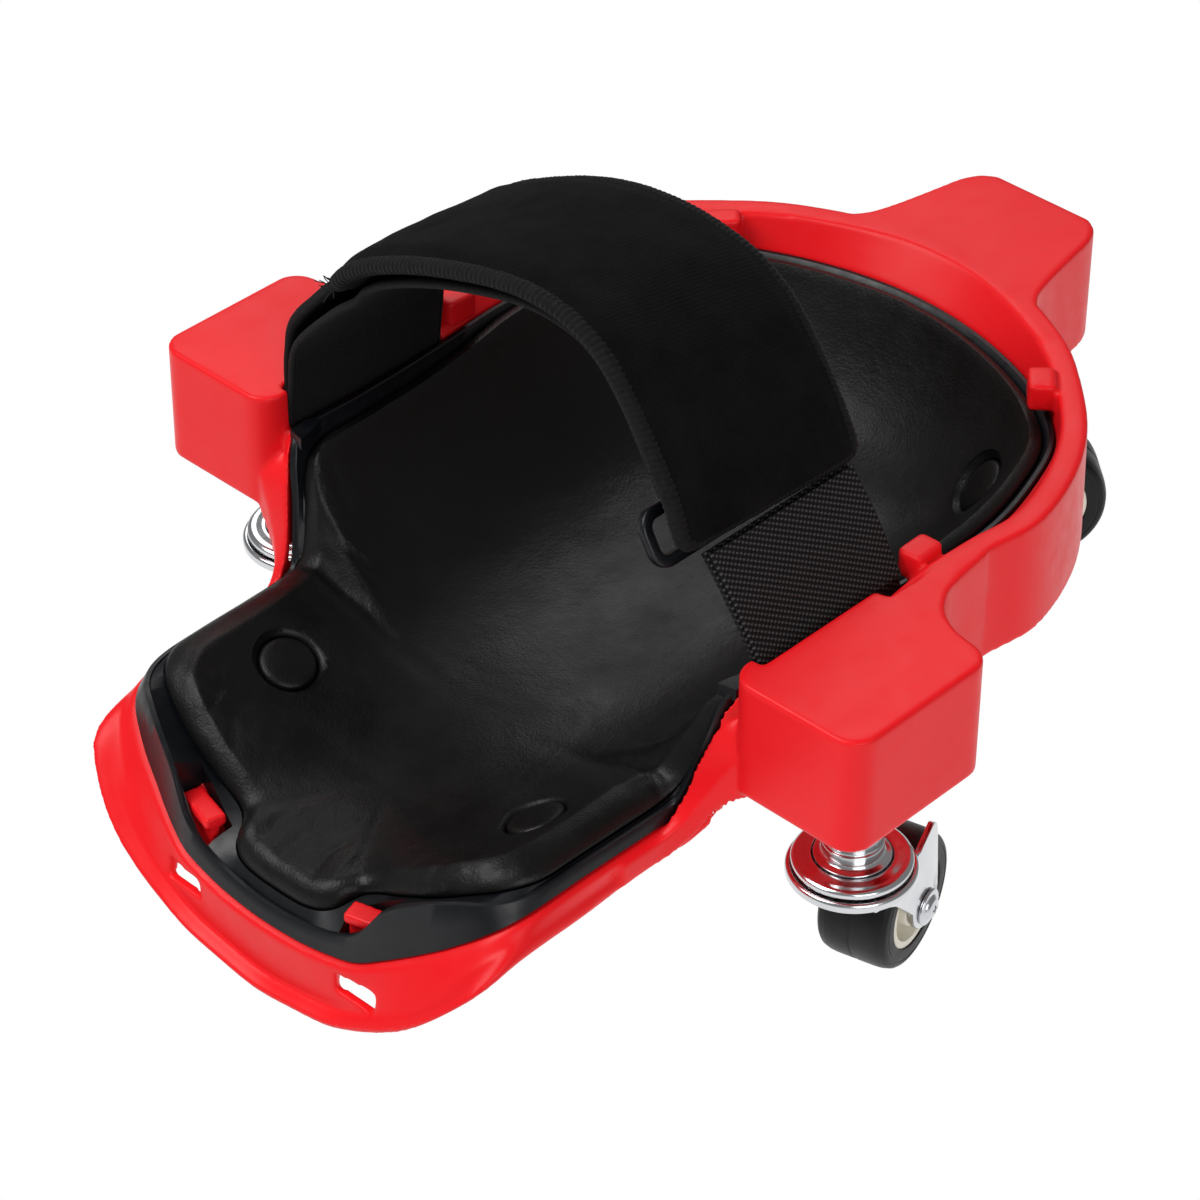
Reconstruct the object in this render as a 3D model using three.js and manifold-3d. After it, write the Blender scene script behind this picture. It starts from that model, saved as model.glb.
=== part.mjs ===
// Rolling knee creeper: a moulded three-castor platform with a clip-in pad
// carrier, a foam knee pad and a padded leg strap.
//
// Millimetres, +Z up, +X along the length towards the knee cup and the single
// castor, +Y to the left. The origin is on the floor, under the middle of the
// bounding box. The shapes are drawn about the castor-box datum (tail face of
// the side boxes, mid plane, underside of the boxes) and the root group moves
// that datum to the origin.
import * as THREE from 'three';
import Module from 'manifold-3d';
import { mergeVertices, mergeGeometries } from 'three/addons/utils/BufferGeometryUtils.js';

const wasm = await Module();
wasm.setup();

// ---------------------------------------------------------------- dimensions
const DATUM = [-76.7, 0, 79.8];      // box datum in the part's own frame
const BOX_X0 = -2.5;             // tail face of a side castor box
const BOX_X1 = 52.5;             // cup-side face
const BOX_IN = 88;               // inner face of a side box
const BOX_OUT = 133;             // outer face of a side box
const BOX_H = 37;                // height of the boxes and of the cup rim
const BOX_R = 8;                 // vertical corner radius of the boxes
const WALL = 3;                  // moulded wall
const CARRIER_T = 2.4;           // carrier wall
const PAD_T = 10;                // foam thickness
const GAP = 0.4;                 // clearance between nested shells
const CASTOR_Y = 108;            // side castor, from the mid plane
const CASTOR_X = 28.3;           // side castor, from the box tail face
const CASTOR3_X = 211;           // single castor
const RACE_Z = -30.9;            // top of the swivel race
const WHEEL_R = 20.5;
const WHEEL_W = 21.6;
const TRAIL = 20.5;              // axle behind the swivel axis
const AXLE_Z = -59.3;              // axle height in the datum frame
const STEM_D = 8;
const SOCKET_D = 12.4;           // sleeve in the boss that grips the stem
const NECK_D = 17;
const RACE_D = 33.6;
const CROWN_D = 36.6;            // lower race, part of the fork
const SWIVEL_DEG = { right: 13.6, left: -13.6, front: -41 };
const STRAP_X0 = 5;              // tail-side edge of the padded strap
const STRAP_X1 = 69;             // cup-side edge
const STRAP_T = 7.4;
const WEB_X0 = 9;
const WEB_X1 = 66;
const BUTTON_D = 17;

// ---------------------------------------------------------------- materials
const mat = (hex, roughness, metalness = 0) =>
  new THREE.MeshStandardMaterial({ color: hex, roughness, metalness });
const RED = () => mat(0xd8202a, 0.35);
const BLACK_PLASTIC = () => mat(0x17181b, 0.4);
const FOAM = () => mat(0x1b1a1a, 0.7);
const STRAP = () => mat(0x141416, 0.9);
const WEB = () => mat(0x202022, 0.95);
const ZINC = () => mat(0xc4c8cc, 0.22, 1);
const HUB = () => mat(0xe6e1d2, 0.5);
const TYRE = () => mat(0x161616, 0.75);

// ---------------------------------------------------------------- helpers
const root = new THREE.Group();
root.position.set(...DATUM);

const bare = (g) => {
  let b = g.index ? g.toNonIndexed() : g.clone();
  b.deleteAttribute('normal'); b.deleteAttribute('uv');
  return mergeVertices(b, 1e-4);
};
const solid = (g) => {
  const b = bare(g);
  return new wasm.Manifold(new wasm.Mesh({
    numProp: 3,
    vertProperties: new Float32Array(b.attributes.position.array),
    triVerts: new Uint32Array(b.index.array),
  }));
};
const geom = (m) => {
  const q = m.getMesh();
  const g = new THREE.BufferGeometry();
  g.setAttribute('position', new THREE.BufferAttribute(Float32Array.from(q.vertProperties), 3));
  g.setIndex(Array.from(q.triVerts));
  const n = g.toNonIndexed();
  n.computeVertexNormals();
  return n;
};
const part = (name, g, material, parent = root) => {
  const m = new THREE.Mesh(g, material);
  m.name = name;
  parent.add(m);
  return m;
};
const tr = (g, x = 0, y = 0, z = 0) => g.translate(x, y, z);

// a rounded rectangle prism, x0..x1, y0..y1, z0..z1
const prism = (x0, x1, y0, y1, z0, z1, r = 0, seg = 4) => {
  const s = new THREE.Shape();
  if (r <= 0) {
    s.moveTo(x0, y0); s.lineTo(x1, y0); s.lineTo(x1, y1); s.lineTo(x0, y1);
  } else {
    s.moveTo(x0 + r, y0); s.lineTo(x1 - r, y0); s.absarc(x1 - r, y0 + r, r, -Math.PI / 2, 0, false);
    s.lineTo(x1, y1 - r); s.absarc(x1 - r, y1 - r, r, 0, Math.PI / 2, false);
    s.lineTo(x0 + r, y1); s.absarc(x0 + r, y1 - r, r, Math.PI / 2, Math.PI, false);
    s.lineTo(x0, y0 + r); s.absarc(x0 + r, y0 + r, r, Math.PI, 1.5 * Math.PI, false);
  }
  return tr(new THREE.ExtrudeGeometry(s, { depth: z1 - z0, bevelEnabled: false, curveSegments: seg }), 0, 0, z0);
};
// an extruded plan outline
const plan = (pts, z0, z1) => {
  const s = new THREE.Shape(pts.map((p) => new THREE.Vector2(p[0], p[1])));
  return tr(new THREE.ExtrudeGeometry(s, { depth: z1 - z0, bevelEnabled: false }), 0, 0, z0);
};
const lathe = (outline, seg = 24) => {
  let area = 0;
  outline.forEach((p, i) => { const q = outline[(i + 1) % outline.length]; area += p[0] * q[1] - q[0] * p[1]; });
  const profile = area < 0 ? outline.slice().reverse() : outline;   // counter-clockwise: faces point out
  const g = new THREE.LatheGeometry(profile.map((p) => new THREE.Vector2(p[0], p[1])), seg);
  return g.rotateX(Math.PI / 2);             // axis of revolution becomes Z
};
const cyl = (r, z0, z1, seg = 24) => lathe([[0, z0], [r, z0], [r, z1], [0, z1]], seg);

// ------------------------------------------------- stations round the outline
// From the middle of the tail, round the left side, to the middle of the cup.
// E pad edge, T top of the carrier wall, S foot of the carrier wall,
// F foot of the platform skirt.
const E = [
  [-84, 0, -38], [-83.6, 12, -37.4], [-80.5, 19, -36], [-73, 24.5, -32], [-71.5, 37, -26], [-70.2, 47.5, -21],
  [-67.5, 58, -15.5], [-62.5, 66.5, -12], [-54, 71, -11], [-40, 71.5, -11], [-24, 71.8, -11], [-10, 72.3, -10.5],
  [-3.5, 73.5, -7], [1, 76.5, 4], [4.5, 79.5, 14], [11, 81.5, 19.5], [30, 82.3, 20], [50, 83, 20.5], [70, 83.8, 22],
  [88, 85.2, 24], [108, 84.5, 25], [128, 80, 25], [147, 72.5, 25], [159.5, 59.5, 25], [168, 43.5, 25],
  [173.5, 27, 25], [176.3, 12, 25], [177, 0, 25]];
const T = [
  [-88.2, 0, -41], [-87.8, 14, -40], [-87, 25, -37.5], [-85.8, 34, -32.5], [-83, 42, -21.5], [-79.2, 51, -16.5],
  [-74.5, 60, -13.8], [-68.5, 68.5, -12.8], [-59, 73, -12.3], [-42, 73.9, -12], [-24, 74.2, -12], [-10, 74.7, -11.5],
  [-5.5, 76, -8], [-1.5, 79, 7], [1.5, 82.3, 20], [8, 85, 26], [30, 85.6, 26], [50, 86.2, 26], [70, 87, 26.5],
  [88.5, 88.5, 26.5], [109, 87.8, 26.5], [129.5, 83, 26.5], [149.3, 75, 26.5], [162.3, 61.7, 26.5], [171.2, 45, 26.5],
  [176.9, 28, 26.5], [179.8, 12.5, 26.5], [180.5, 0, 26.5]];
const S = [
  [-89.4, 0, -46.5], [-89, 14, -46], [-88.2, 25, -44.5], [-87, 34, -42.5], [-84.4, 42.6, -38], [-80.8, 51.4, -33],
  [-77, 60.5, -27], [-71, 69.8, -20], [-61, 74, -16.8], [-42, 74.7, -16], [-24, 75, -16], [-10, 75.4, -16],
  [-5, 76.6, -15.5], [-1, 79, -9], [2, 81.8, 0], [8.4, 84, 5], [30, 84.6, 6], [50, 85.2, 6.5], [70, 86, 8],
  [88, 87.5, 10], [108.6, 86.9, 11], [128.9, 82.1, 11], [148.6, 74.2, 11], [161.5, 61.1, 11], [170.3, 44.6, 11],
  [176, 27.8, 11], [178.9, 12.4, 11], [179.6, 0, 11]];
const F = [
  [-94, 0, -67], [-94, 16, -65], [-93.8, 27.5, -63], [-93.6, 36.5, -59.5], [-93.3, 46, -54.5], [-92, 57, -47.5],
  [-88.6, 67.3, -38.5], [-81.5, 76.2, -29], [-67, 78, -25], [-42, 77.6, -25], [-24, 76.6, -25], [-10, 76.6, -25],
  [-4, 77.2, -25], [2, 80, -20], [8, 88, -6], [14, 96, 0], [30, 100, 0], [50, 104.2, 0], [68, 103.6, 0],
  [87, 102.6, 0], [107.6, 104.4, 0], [131, 97.6, 0], [151, 86, 0], [167.6, 70.5, 0], [180.6, 54.4, 0],
  [190.6, 34.3, 0], [196.4, 16, 0], [198, 0, 0]];
// rim of the cup: R outer top edge, N inner top edge (from the side boxes on)
const R = { 14: [6, 90, 22], 15: [12, 95, 25], 16: [30, 99.5, 30], 17: [50, 103.7, 35], 18: [68, 103, BOX_H], 19: [86.5, 102, BOX_H],
  20: [107, 103.8, BOX_H], 21: [130.4, 97, BOX_H], 22: [150.2, 85.5, BOX_H], 23: [166.8, 70, BOX_H], 24: [180, 54, BOX_H],
  25: [190, 34, BOX_H], 26: [195.9, 16, BOX_H], 27: [197.5, 0, BOX_H] };
const N = { 14: [4, 86.5, 21], 15: [9, 88.5, 24.6], 16: [30, 91, 26.5], 17: [50, 93, 31], 18: [68, 94.5, 36.3], 19: [87, 94.6, 36.4],
  20: [106.3, 96.2, 36.4], 21: [127.5, 90, 36.4], 22: [145.8, 79.5, 36.4], 23: [161.4, 65, 36.4], 24: [173.4, 50, 36.4],
  25: [182.6, 31.5, 36.4], 26: [188, 14.8, 36.4], 27: [189.4, 0, 36.4] };
const NS = E.length;
const CREST = E.map((e, i) => e[2] + (i < 3 ? 7 : i < 12 ? 4 : 2.2));     // pad crest above its edge
const CREST_R = E.map((e, i) => (i < 12 ? 0.86 : i < 14 ? 0.92 : 0.95));
const POWER = E.map((e, i) => (i < 3 ? 2.4 : i < 12 ? 1.9 : i < 14 ? 2.8 : i < 19 ? 3.3 : 3.6));
const EDGE_H = E.map((e, i) => (i < 12 ? 2.6 : i < 14 ? 5 : 9));
const MX0 = -42, MX1 = 108;                                               // ends of the trough's spine
const spineZ = (x) => {
  const k = [[-42, -28], [-20, -25.5], [10, -22.5], [45, -20], [80, -17], [108, -15]];
  if (x <= k[0][0]) return k[0][1];
  for (let j = 1; j < k.length; j++) if (x <= k[j][0]) {
    const t = (x - k[j - 1][0]) / (k[j][0] - k[j - 1][0]);
    return k[j - 1][1] + t * (k[j][1] - k[j - 1][1]);
  }
  return k[k.length - 1][1];
};
const spineX = (i) => Math.min(MX1, Math.max(MX0, E[i][0]));
const outward = (i) => {                                                  // plan normal of the outline
  if (i === 0) return [-1, 0];
  if (i === NS - 1) return [1, 0];
  const a = T[i - 1], b = T[i + 1];
  const dx = b[0] - a[0], dy = b[1] - a[1], l = Math.hypot(dx, dy);
  return [-dy / l, dx / l];
};
const off = (p, i, d, dz = 0) => {
  const n = outward(i);
  return [p[0] + n[0] * d, p[1] + n[1] * d, p[2] + dz];
};
const along = (i, r, z) => {
  const m = spineX(i);
  return [m + (E[i][0] - m) * r, E[i][1] * r, z];
};
const padTop = (i, r) => {
  const zc = spineZ(spineX(i));
  return zc + (CREST[i] - zc) * Math.pow(Math.min(1, r / CREST_R[i]), POWER[i]);
};
const padBottom = (i, r) => padTop(i, r) - PAD_T;
const carrierTop = (i, r) => padBottom(i, r) - GAP;
const carrierUnder = (i, r) => carrierTop(i, r) - CARRIER_T;
const trayTop = (i, r) => carrierUnder(i, r) - GAP;
const trayUnder = (i, r) => trayTop(i, r) - WALL;
const RIN = 0.955;                                                        // low outer corner of the pad
const edgeZ = (i) => E[i][2] - EDGE_H[i];

const lerp3 = (a, b, t) => [a[0] + (b[0] - a[0]) * t, a[1] + (b[1] - a[1]) * t, a[2] + (b[2] - a[2]) * t];

// A closed body from one closed half-profile per station: the profile runs from
// the spine over the top, round the edge and back to the spine underneath.
function loft(profile, under = 5) {
  const rows = [];
  for (let i = 0; i < NS; i++) rows.push(profile(i));
  const K = rows[0].length;
  const ring = [];
  for (let i = 0; i < NS; i++) ring.push(rows[i]);
  for (let i = NS - 2; i > 0; i--) ring.push(rows[i].map((p) => [p[0], -p[1], p[2]]));
  const pos = [];
  const tri = (a, b, c) => {
    const same = (p, q) => Math.hypot(p[0] - q[0], p[1] - q[1], p[2] - q[2]) < 1e-3;
    if (same(a, b) || same(b, c) || same(a, c)) return;
    pos.push(...a, ...b, ...c);
  };
  for (let j = 0; j < ring.length; j++) {
    const A = ring[j], B = ring[(j + 1) % ring.length];
    for (let k = 0; k < K - 1; k++) {
      const a = A[k], b = A[k + 1], c = B[k + 1], d = B[k];
      // split the quad the same way on both sides of the mid plane
      // and, underneath, the way the surface below it is split
      const up = k < K - under;
      if ((j < NS - 1) === up) { tri(a, c, b); tri(a, d, c); } else { tri(a, d, b); tri(b, d, c); }
    }
  }
  const g = new THREE.BufferGeometry();
  g.setAttribute('position', new THREE.Float32BufferAttribute(pos, 3));
  return g;
}
const mirrorY = (g) => {
  const m = g.index ? g.toNonIndexed() : g.clone();
  const p = m.attributes.position.array;
  for (let i = 0; i < p.length; i += 9) {
    for (let k = 0; k < 3; k++) {
      const q = p[i + k]; p[i + k] = p[i + 6 + k]; p[i + 6 + k] = q;
    }
  }
  for (let i = 1; i < p.length; i += 3) p[i] = -p[i];
  m.deleteAttribute('normal');
  return m;
};
// outer skin of a profile that surrounds the spine: rows are joined along the
// spine, so the point at r = 0 is shared by both sides
// ------------------------------------------------------------------ knee pad
const padGeometry = loft((i) => [
  along(i, 0, padTop(i, 0)), along(i, 0.3, padTop(i, 0.3)), along(i, 0.55, padTop(i, 0.55)), along(i, 0.75, padTop(i, 0.75)),
  along(i, CREST_R[i], padTop(i, CREST_R[i])), [E[i][0], E[i][1], E[i][2]],
  along(i, RIN, edgeZ(i)),
  along(i, 0.75, padBottom(i, 0.75)), along(i, 0.4, padBottom(i, 0.4)), along(i, 0, padBottom(i, 0))]);

// ------------------------------------------------------------------- carrier
const carrierGeometry = loft((i) => [
  along(i, 0, carrierTop(i, 0)), along(i, 0.4, carrierTop(i, 0.4)), along(i, 0.75, carrierTop(i, 0.75)),
  along(i, RIN, edgeZ(i) - GAP), off(E[i], i, 0.5, i < 12 ? -GAP : 0),
  off(T[i], i, -1.9, i < 3 ? -0.6 : 0), T[i], S[i],
  along(i, RIN, edgeZ(i) - GAP - CARRIER_T),
  along(i, 0.75, carrierUnder(i, 0.75)), along(i, 0.4, carrierUnder(i, 0.4)), along(i, 0, carrierUnder(i, 0))]);

// ------------------------------------------------------------------ platform
const trayGeometry = loft((i) => {
  const zr = edgeZ(i) - 2 * GAP - CARRIER_T;
  const head = [along(i, 0, trayTop(i, 0)), along(i, 0.4, trayTop(i, 0.4)), along(i, 0.75, trayTop(i, 0.75)), along(i, RIN, zr)];
  const tail = [along(i, RIN, zr - WALL), along(i, 0.75, trayUnder(i, 0.75)), along(i, 0.4, trayUnder(i, 0.4)), along(i, 0, trayUnder(i, 0))];
  if (i < 14) {                                  // skirt round the tail
    const lip = i < 8 ? 4.4 : 1.6, up = i < 8 ? 2 : 3;
    const Q = off(F[i], i, -lip, up);
    return [...head, off(S[i], i, 0.1, -0.5), off(S[i], i, i === 13 ? 1.2 : 0.5, -0.55), off(S[i], i, 1.5, -1.3),
      Q, F[i], off(F[i], i, -0.9, -2), off(F[i], i, -(lip + 2.2), -2.2), off(S[i], i, -1.6, -6), off(S[i], i, -4.2, -4.4), ...tail];
  }
  const top = N[i], rim = R[i], foot = F[i];
  const inner = off(T[i], i, i === 14 ? 1.1 : 0.6, -0.6);
  const head2 = [...head, i === 14 ? off(S[i], i, 0.1, -1) : off(S[i], i, 0.6, -0.4), inner, top, rim, foot];
  if (i < 19) {                                  // solid between the trough wall and the side box
    const fz = foot[2] - S[i][2];
    return [...head2, off(S[i], i, 4, fz), off(S[i], i, 3.8, fz - 0.5), off(S[i], i, 3.6, fz - 0.9), off(S[i], i, 3.2, fz - 1.2), ...tail];
  }
  const mid = lerp3(top, rim, 0.5);              // hollow rim of the cup, open underneath
  return [...head2, off(foot, i, -WALL), [mid[0], mid[1], top[2] - WALL - 0.6], off(inner, i, 2.8, -3.6), off(S[i], i, 3.4, -3.4), ...tail];
});

const castorBoss = (x, y) => cyl(12, 0, BOX_H - 1, 14).translate(x, y, 0);

function castorBox(sign) {
  // box with four pockets moulded from below, a boss and the ribs between them
  let b = solid(prism(BOX_X0, BOX_X1, BOX_IN, BOX_OUT, 0, BOX_H, BOX_R, 4));
  let pocket = solid(prism(BOX_X0 + WALL, BOX_X1 - WALL, 104.5, BOX_OUT - WALL, -5, BOX_H - WALL, 5, 3));
  pocket = pocket.subtract(solid(castorBoss(CASTOR_X, CASTOR_Y)));
  pocket = pocket.subtract(solid(prism(CASTOR_X - 1.5, CASTOR_X + 1.5, 80, 140, -6, BOX_H)));
  b = b.subtract(pocket);
  return sign > 0 ? b : solid(mirrorY(geom(b)));
}
const half = (pts) => [...pts, ...pts.slice().reverse().map((p) => [p[0], -p[1]])];
const FRONT_BOX = half([[176, 52], [181, 44.5], [186, 39], [193, 33], [203, 29.8], [217, 27], [227, 25], [232.8, 22], [236, 17.5]]);
const FRONT_POCKET = half([[202, 24.2], [217, 21.6], [229, 18]]);

let tray = solid(trayGeometry);
tray = tray.add(castorBox(1)).add(castorBox(-1));
// fillet webs between each side box and the cup wall
const FILLET = [[BOX_X1 - 3, 96], [BOX_X1 - 3, 126.5], [BOX_X1, 124.5], [54, 118], [57.3, 112], [62, 108], [69, 105], [86, 102.6], [86, 97], [68, 97]];
tray = tray.add(solid(plan(FILLET, 0, BOX_H))).add(solid(plan(FILLET.map((p) => [p[0], -p[1]]).reverse(), 0, BOX_H)));
// concave web that sweeps from the skirt out to the tail face of each side box
const FLARE = [[[-30, 77.4], [-30, 74.6], -18.6, -25.2], [[-18, 77.6], [-18, 75], -18.4, -25], [[-12.5, 78.5], [-12.5, 75.5], -16.6, -22.5],
  [[-8, 80.6], [-9, 76.3], -13, -18], [[-5, 84], [-5.6, 77.9], -6, -10.5], [[-3.3, 88], [-3, 79.4], 3, -4.2],
  [[-1.5, 93], [-0.5, 81.6], 11, -0.6], [[2, 97], [2.6, 84.2], 16, 0], [[8, 98], [8.4, 86.2], 18, 0.2]];
for (const s of [1, -1]) for (let k = 0; k + 1 < FLARE.length; k++) {
  const c = [FLARE[k], FLARE[k + 1]].flatMap(([o, i, zt, zb]) => [[o[0], s * o[1], zb], [o[0], s * o[1], zt], [i[0], s * i[1], zt], [i[0], s * i[1], zb]]);
  tray = tray.add(wasm.Manifold.hull(c));
}
// front castor box
let front = solid(plan(FRONT_BOX, 0, BOX_H));
let fp = solid(plan(FRONT_POCKET, -5, BOX_H - WALL));
fp = fp.subtract(solid(castorBoss(CASTOR3_X, 0))).subtract(solid(prism(CASTOR3_X - 1.5, CASTOR3_X + 1.5, -40, 40, -6, BOX_H)));
front = front.subtract(fp);
// keep the bowl clear of the front box
const bowlCut = plan(half(N_bowl()), -60, 60);
function N_bowl() {
  const pts = [];
  for (let i = 22; i < NS; i++) pts.push([N[i][0] + 1, N[i][1]]);
  return [[120, 80], ...pts.slice(0, -1), [N[27][0] + 1, 0.01]];
}
front = front.subtract(solid(bowlCut));
tray = tray.add(front);
// web slots beside the carrier wall, through to the underside
for (const s of [1, -1]) {
  const a = 86.4, b = 91.9;
  tray = tray.subtract(solid(prism(WEB_X0 - 1.6, WEB_X1 + 1.6, s > 0 ? a : -b, s > 0 ? b : -a, 6.8, 45)));
}
// stem holes
for (const [x, y] of [[CASTOR_X, CASTOR_Y], [CASTOR_X, -CASTOR_Y], [CASTOR3_X, 0]]) {
  tray = tray.subtract(solid(cyl(SOCKET_D / 2 + 0.45, -5, 31.5, 12).translate(x, y, 0)));
}
// moulding windows in the skirt under the snap tabs
for (const s of [1, -1]) {
  const w = new THREE.BoxGeometry(22, 11, 6.5).rotateZ(s * -0.32).translate(-88, s * 33.2, -48.6);
  tray = tray.subtract(solid(w));
}
// snap tabs that stand up through the carrier wall
const carrierCuts = [];
for (const s of [1, -1]) {
  const ang = s * -0.26;
  const tab = new THREE.BoxGeometry(3, 14, 11.5).rotateZ(ang).translate(-79.4, s * 33.3, -39);
  const barb = new THREE.BoxGeometry(6.6, 15, 3).rotateZ(ang).translate(-79.4, s * 33.3, -33.2);
  tray = tray.add(solid(tab)).add(solid(barb));
  carrierCuts.push(new THREE.BoxGeometry(8.4, 17.4, 17).rotateZ(ang).translate(-79.4, s * 33.3, -36.6));
}
// hook lugs on the cup rim that hold the carrier edge down
const LUGS = [[159.5, 61.5, 0.86], [74, 88.8, 1.53]];
for (const [x, y, a] of LUGS) for (const s of [1, -1]) {
  const g = new THREE.BoxGeometry(11, 8, 7.4);
  const m = g.rotateZ(s * (a - Math.PI / 2) ).translate(x, s * y, 34.4);
  tray = tray.add(solid(m));
}
tray = tray.decompose().sort((a, b) => Math.abs(b.volume()) - Math.abs(a.volume()))[0];   // drops slivers
part('platform_tray', geom(tray), RED());

// ---- carrier with the notches the tabs stand in
let carrier = solid(carrierGeometry);
for (const c of carrierCuts) carrier = carrier.subtract(solid(c));
const surfaceAt = (x, y) => {                    // height of the pad's top surface
  const ya = Math.abs(y);
  let best = null;
  for (let i = 0; i < NS - 1; i++) for (let u = 0; u <= 1; u += 0.1) {
    const m = spineX(i) + (spineX(i + 1) - spineX(i)) * u;
    const ex = E[i][0] + (E[i + 1][0] - E[i][0]) * u, ey = E[i][1] + (E[i + 1][1] - E[i][1]) * u;
    for (let r = 0.3; r < 0.98; r += 0.01) {
      const d = Math.hypot(m + (ex - m) * r - x, ey * r - ya);
      if (!best || d < best.d) best = { d, z: padTop(i, r) + (padTop(i + 1, r) - padTop(i, r)) * u };
    }
  }
  return best.z;
};
const BUTTONS = { tail_left: [-33, 48], tail_right: [-33, -48], cup_left: [143, 54], cup_right: [143, -54] };
let pad = solid(padGeometry);
for (const [name, [x, y]] of Object.entries(BUTTONS)) {
  const e = 2.5, z = surfaceAt(x, y);
  const n = new THREE.Vector3(surfaceAt(x - e, y) - surfaceAt(x + e, y), surfaceAt(x, y - e) - surfaceAt(x, y + e), 2 * e).normalize();
  const q = new THREE.Quaternion().setFromUnitVectors(new THREE.Vector3(0, 0, 1), n);
  const place = (g) => g.applyQuaternion(q).translate(x, y, z);
  // a round foam-capped plug with a short shank that presses into the foam
  const deep = x > 0 ? -4.2 : -7.6;
  const head = [[0, deep], [5.2, deep], [5.2, -3.2], [BUTTON_D / 2, -3.2], [BUTTON_D / 2, -0.6], [0, 0.1]];
  part(`pad_button_${name}`, place(lathe(head, 14)), FOAM());
  pad = pad.subtract(solid(place(cyl(BUTTON_D / 2 + 0.5, -3.7, 6, 14))));
  pad = pad.subtract(solid(place(cyl(5.7, -9, 6, 14))));
}
part('pad_carrier', geom(carrier), BLACK_PLASTIC());
part('knee_pad', geom(pad), FOAM());

// ---------------------------------------------------------------- leg strap
// A band between two edge lines given in the YZ plane at x0 and x1. The lines
// lie on the outer face; t is the thickness, measured inwards.
function band(near, far, x0, x1, t) {
  const pos = [];
  const inner = (line) => line.map((p, i) => {
    const a = line[Math.max(0, i - 1)], b = line[Math.min(line.length - 1, i + 1)];
    const dy = b[0] - a[0], dz = b[1] - a[1], l = Math.hypot(dy, dz);
    return [p[0] + (dz / l) * t, p[1] - (dy / l) * t];
  });
  const ni = inner(near), fi = inner(far);
  const A = near.map((p) => [x0, ...p]), B = ni.map((p) => [x0, ...p]);
  const Cc = far.map((p) => [x1, ...p]), D = fi.map((p) => [x1, ...p]);
  const quad = (a, b, c, d) => { pos.push(...a, ...b, ...c, ...a, ...c, ...d); };
  for (let k = 0; k < near.length - 1; k++) {
    quad(A[k], A[k + 1], Cc[k + 1], Cc[k]);
    quad(B[k], D[k], D[k + 1], B[k + 1]);
    quad(A[k], B[k], B[k + 1], A[k + 1]);
    quad(Cc[k], Cc[k + 1], D[k + 1], D[k]);
  }
  const e = near.length - 1;
  quad(A[0], Cc[0], D[0], B[0]);
  quad(A[e], B[e], D[e], Cc[e]);
  const g = new THREE.BufferGeometry();
  g.setAttribute('position', new THREE.Float32BufferAttribute(pos, 3));
  const m = solid(g);
  return m.volume() > 0 ? m : solid(flip(g));
}
function flip(g) {
  const m = g.clone(), p = m.attributes.position.array;
  for (let i = 0; i < p.length; i += 9) for (let k = 0; k < 3; k++) { const q = p[i + k]; p[i + k] = p[i + 6 + k]; p[i + 6 + k] = q; }
  return m;
}
// from the ring side (right) over the top to the hook side (left)
const PAD_NEAR = [[-67.7, 63.9], [-62.9, 75.9], [-55.6, 88.1], [-48.4, 99.3], [-38.5, 110.4], [-27, 116.6], [-12.7, 118.6], [1.9, 117], [20.4, 111.9], [36, 106.2], [51.3, 98.9], [60.8, 92.2], [66, 86]];
const PAD_FAR = [[-69.5, 63], [-64, 73.4], [-57.5, 84], [-51, 93], [-42.8, 101.5], [-31, 108.3], [-13, 111.9], [2.7, 111.8], [17.5, 109.3], [33, 104], [50.6, 95.6], [60, 90], [66, 84.6]];
part('strap_pad', geom(band(PAD_NEAR, PAD_FAR, STRAP_X0, STRAP_X1, STRAP_T)), STRAP());
// the lining lies under the padded strap and runs on into the left slot
const under = (line, t) => line.map((p, i) => {
  const a = line[Math.max(0, i - 1)], b = line[Math.min(line.length - 1, i + 1)];
  const dy = b[0] - a[0], dz = b[1] - a[1], l = Math.hypot(dy, dz);
  return [p[0] + (dz / l) * t, p[1] - (dy / l) * t];
});
const LIN_TAIL = [[69, 73], [82.6, 58.4], [87, 50], [88.2, 40], [89.8, 26], [90.2, 12.6]];
const LIN_NEAR = [...under(PAD_NEAR, STRAP_T + 0.5).slice(1), ...LIN_TAIL];
const LIN_FAR = [...under(PAD_FAR, STRAP_T + 0.5).slice(1), ...LIN_TAIL];
part('strap_lining', geom(band(LIN_NEAR, LIN_FAR, WEB_X0 - 1, WEB_X1, 2)), WEB());
const ELA = [[-90.2, 12.6], [-90, 26], [-88.2, 33], [-82.8, 42], [-76.4, 51], [-69, 60.2]];
part('elastic_web', geom(band(ELA, ELA, WEB_X0, WEB_X1, 2)), WEB());
const FLAP = [[69.6, 82.6], [78.6, 72.8], [88.4, 60.4], [91.2, 49], [91.8, 35.2]];
part('hook_flap', geom(band(FLAP, FLAP, WEB_X0 - 0.8, WEB_X1 + 0.8, 2.8)), STRAP());

// anchor rods that the webbing loops round, at the foot of the slots
for (const s of [1, -1]) {
  const g = new THREE.CylinderGeometry(2, 2, WEB_X1 - WEB_X0 + 2.4, 12).rotateZ(Math.PI / 2).translate((WEB_X0 + WEB_X1) / 2, s * 89.1, 9.4);
  part(s > 0 ? 'anchor_rod_left' : 'anchor_rod_right', g, ZINC());
}
// rectangular ring between the lining and the elastic web
{
  const outer = solid(prism(-36.5, 36.5, -8.6, 8.6, -1.5, 1.5, 6, 4));
  const innr = solid(prism(-32.6, 32.6, -5, 5, -4, 4, 2.4, 3));
  const g = geom(outer.subtract(innr)).rotateX(Math.atan2(15.5, 9)).translate(36.2, -56.6, 61.2);
  part('strap_ring', g, BLACK_PLASTIC());
}

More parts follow.
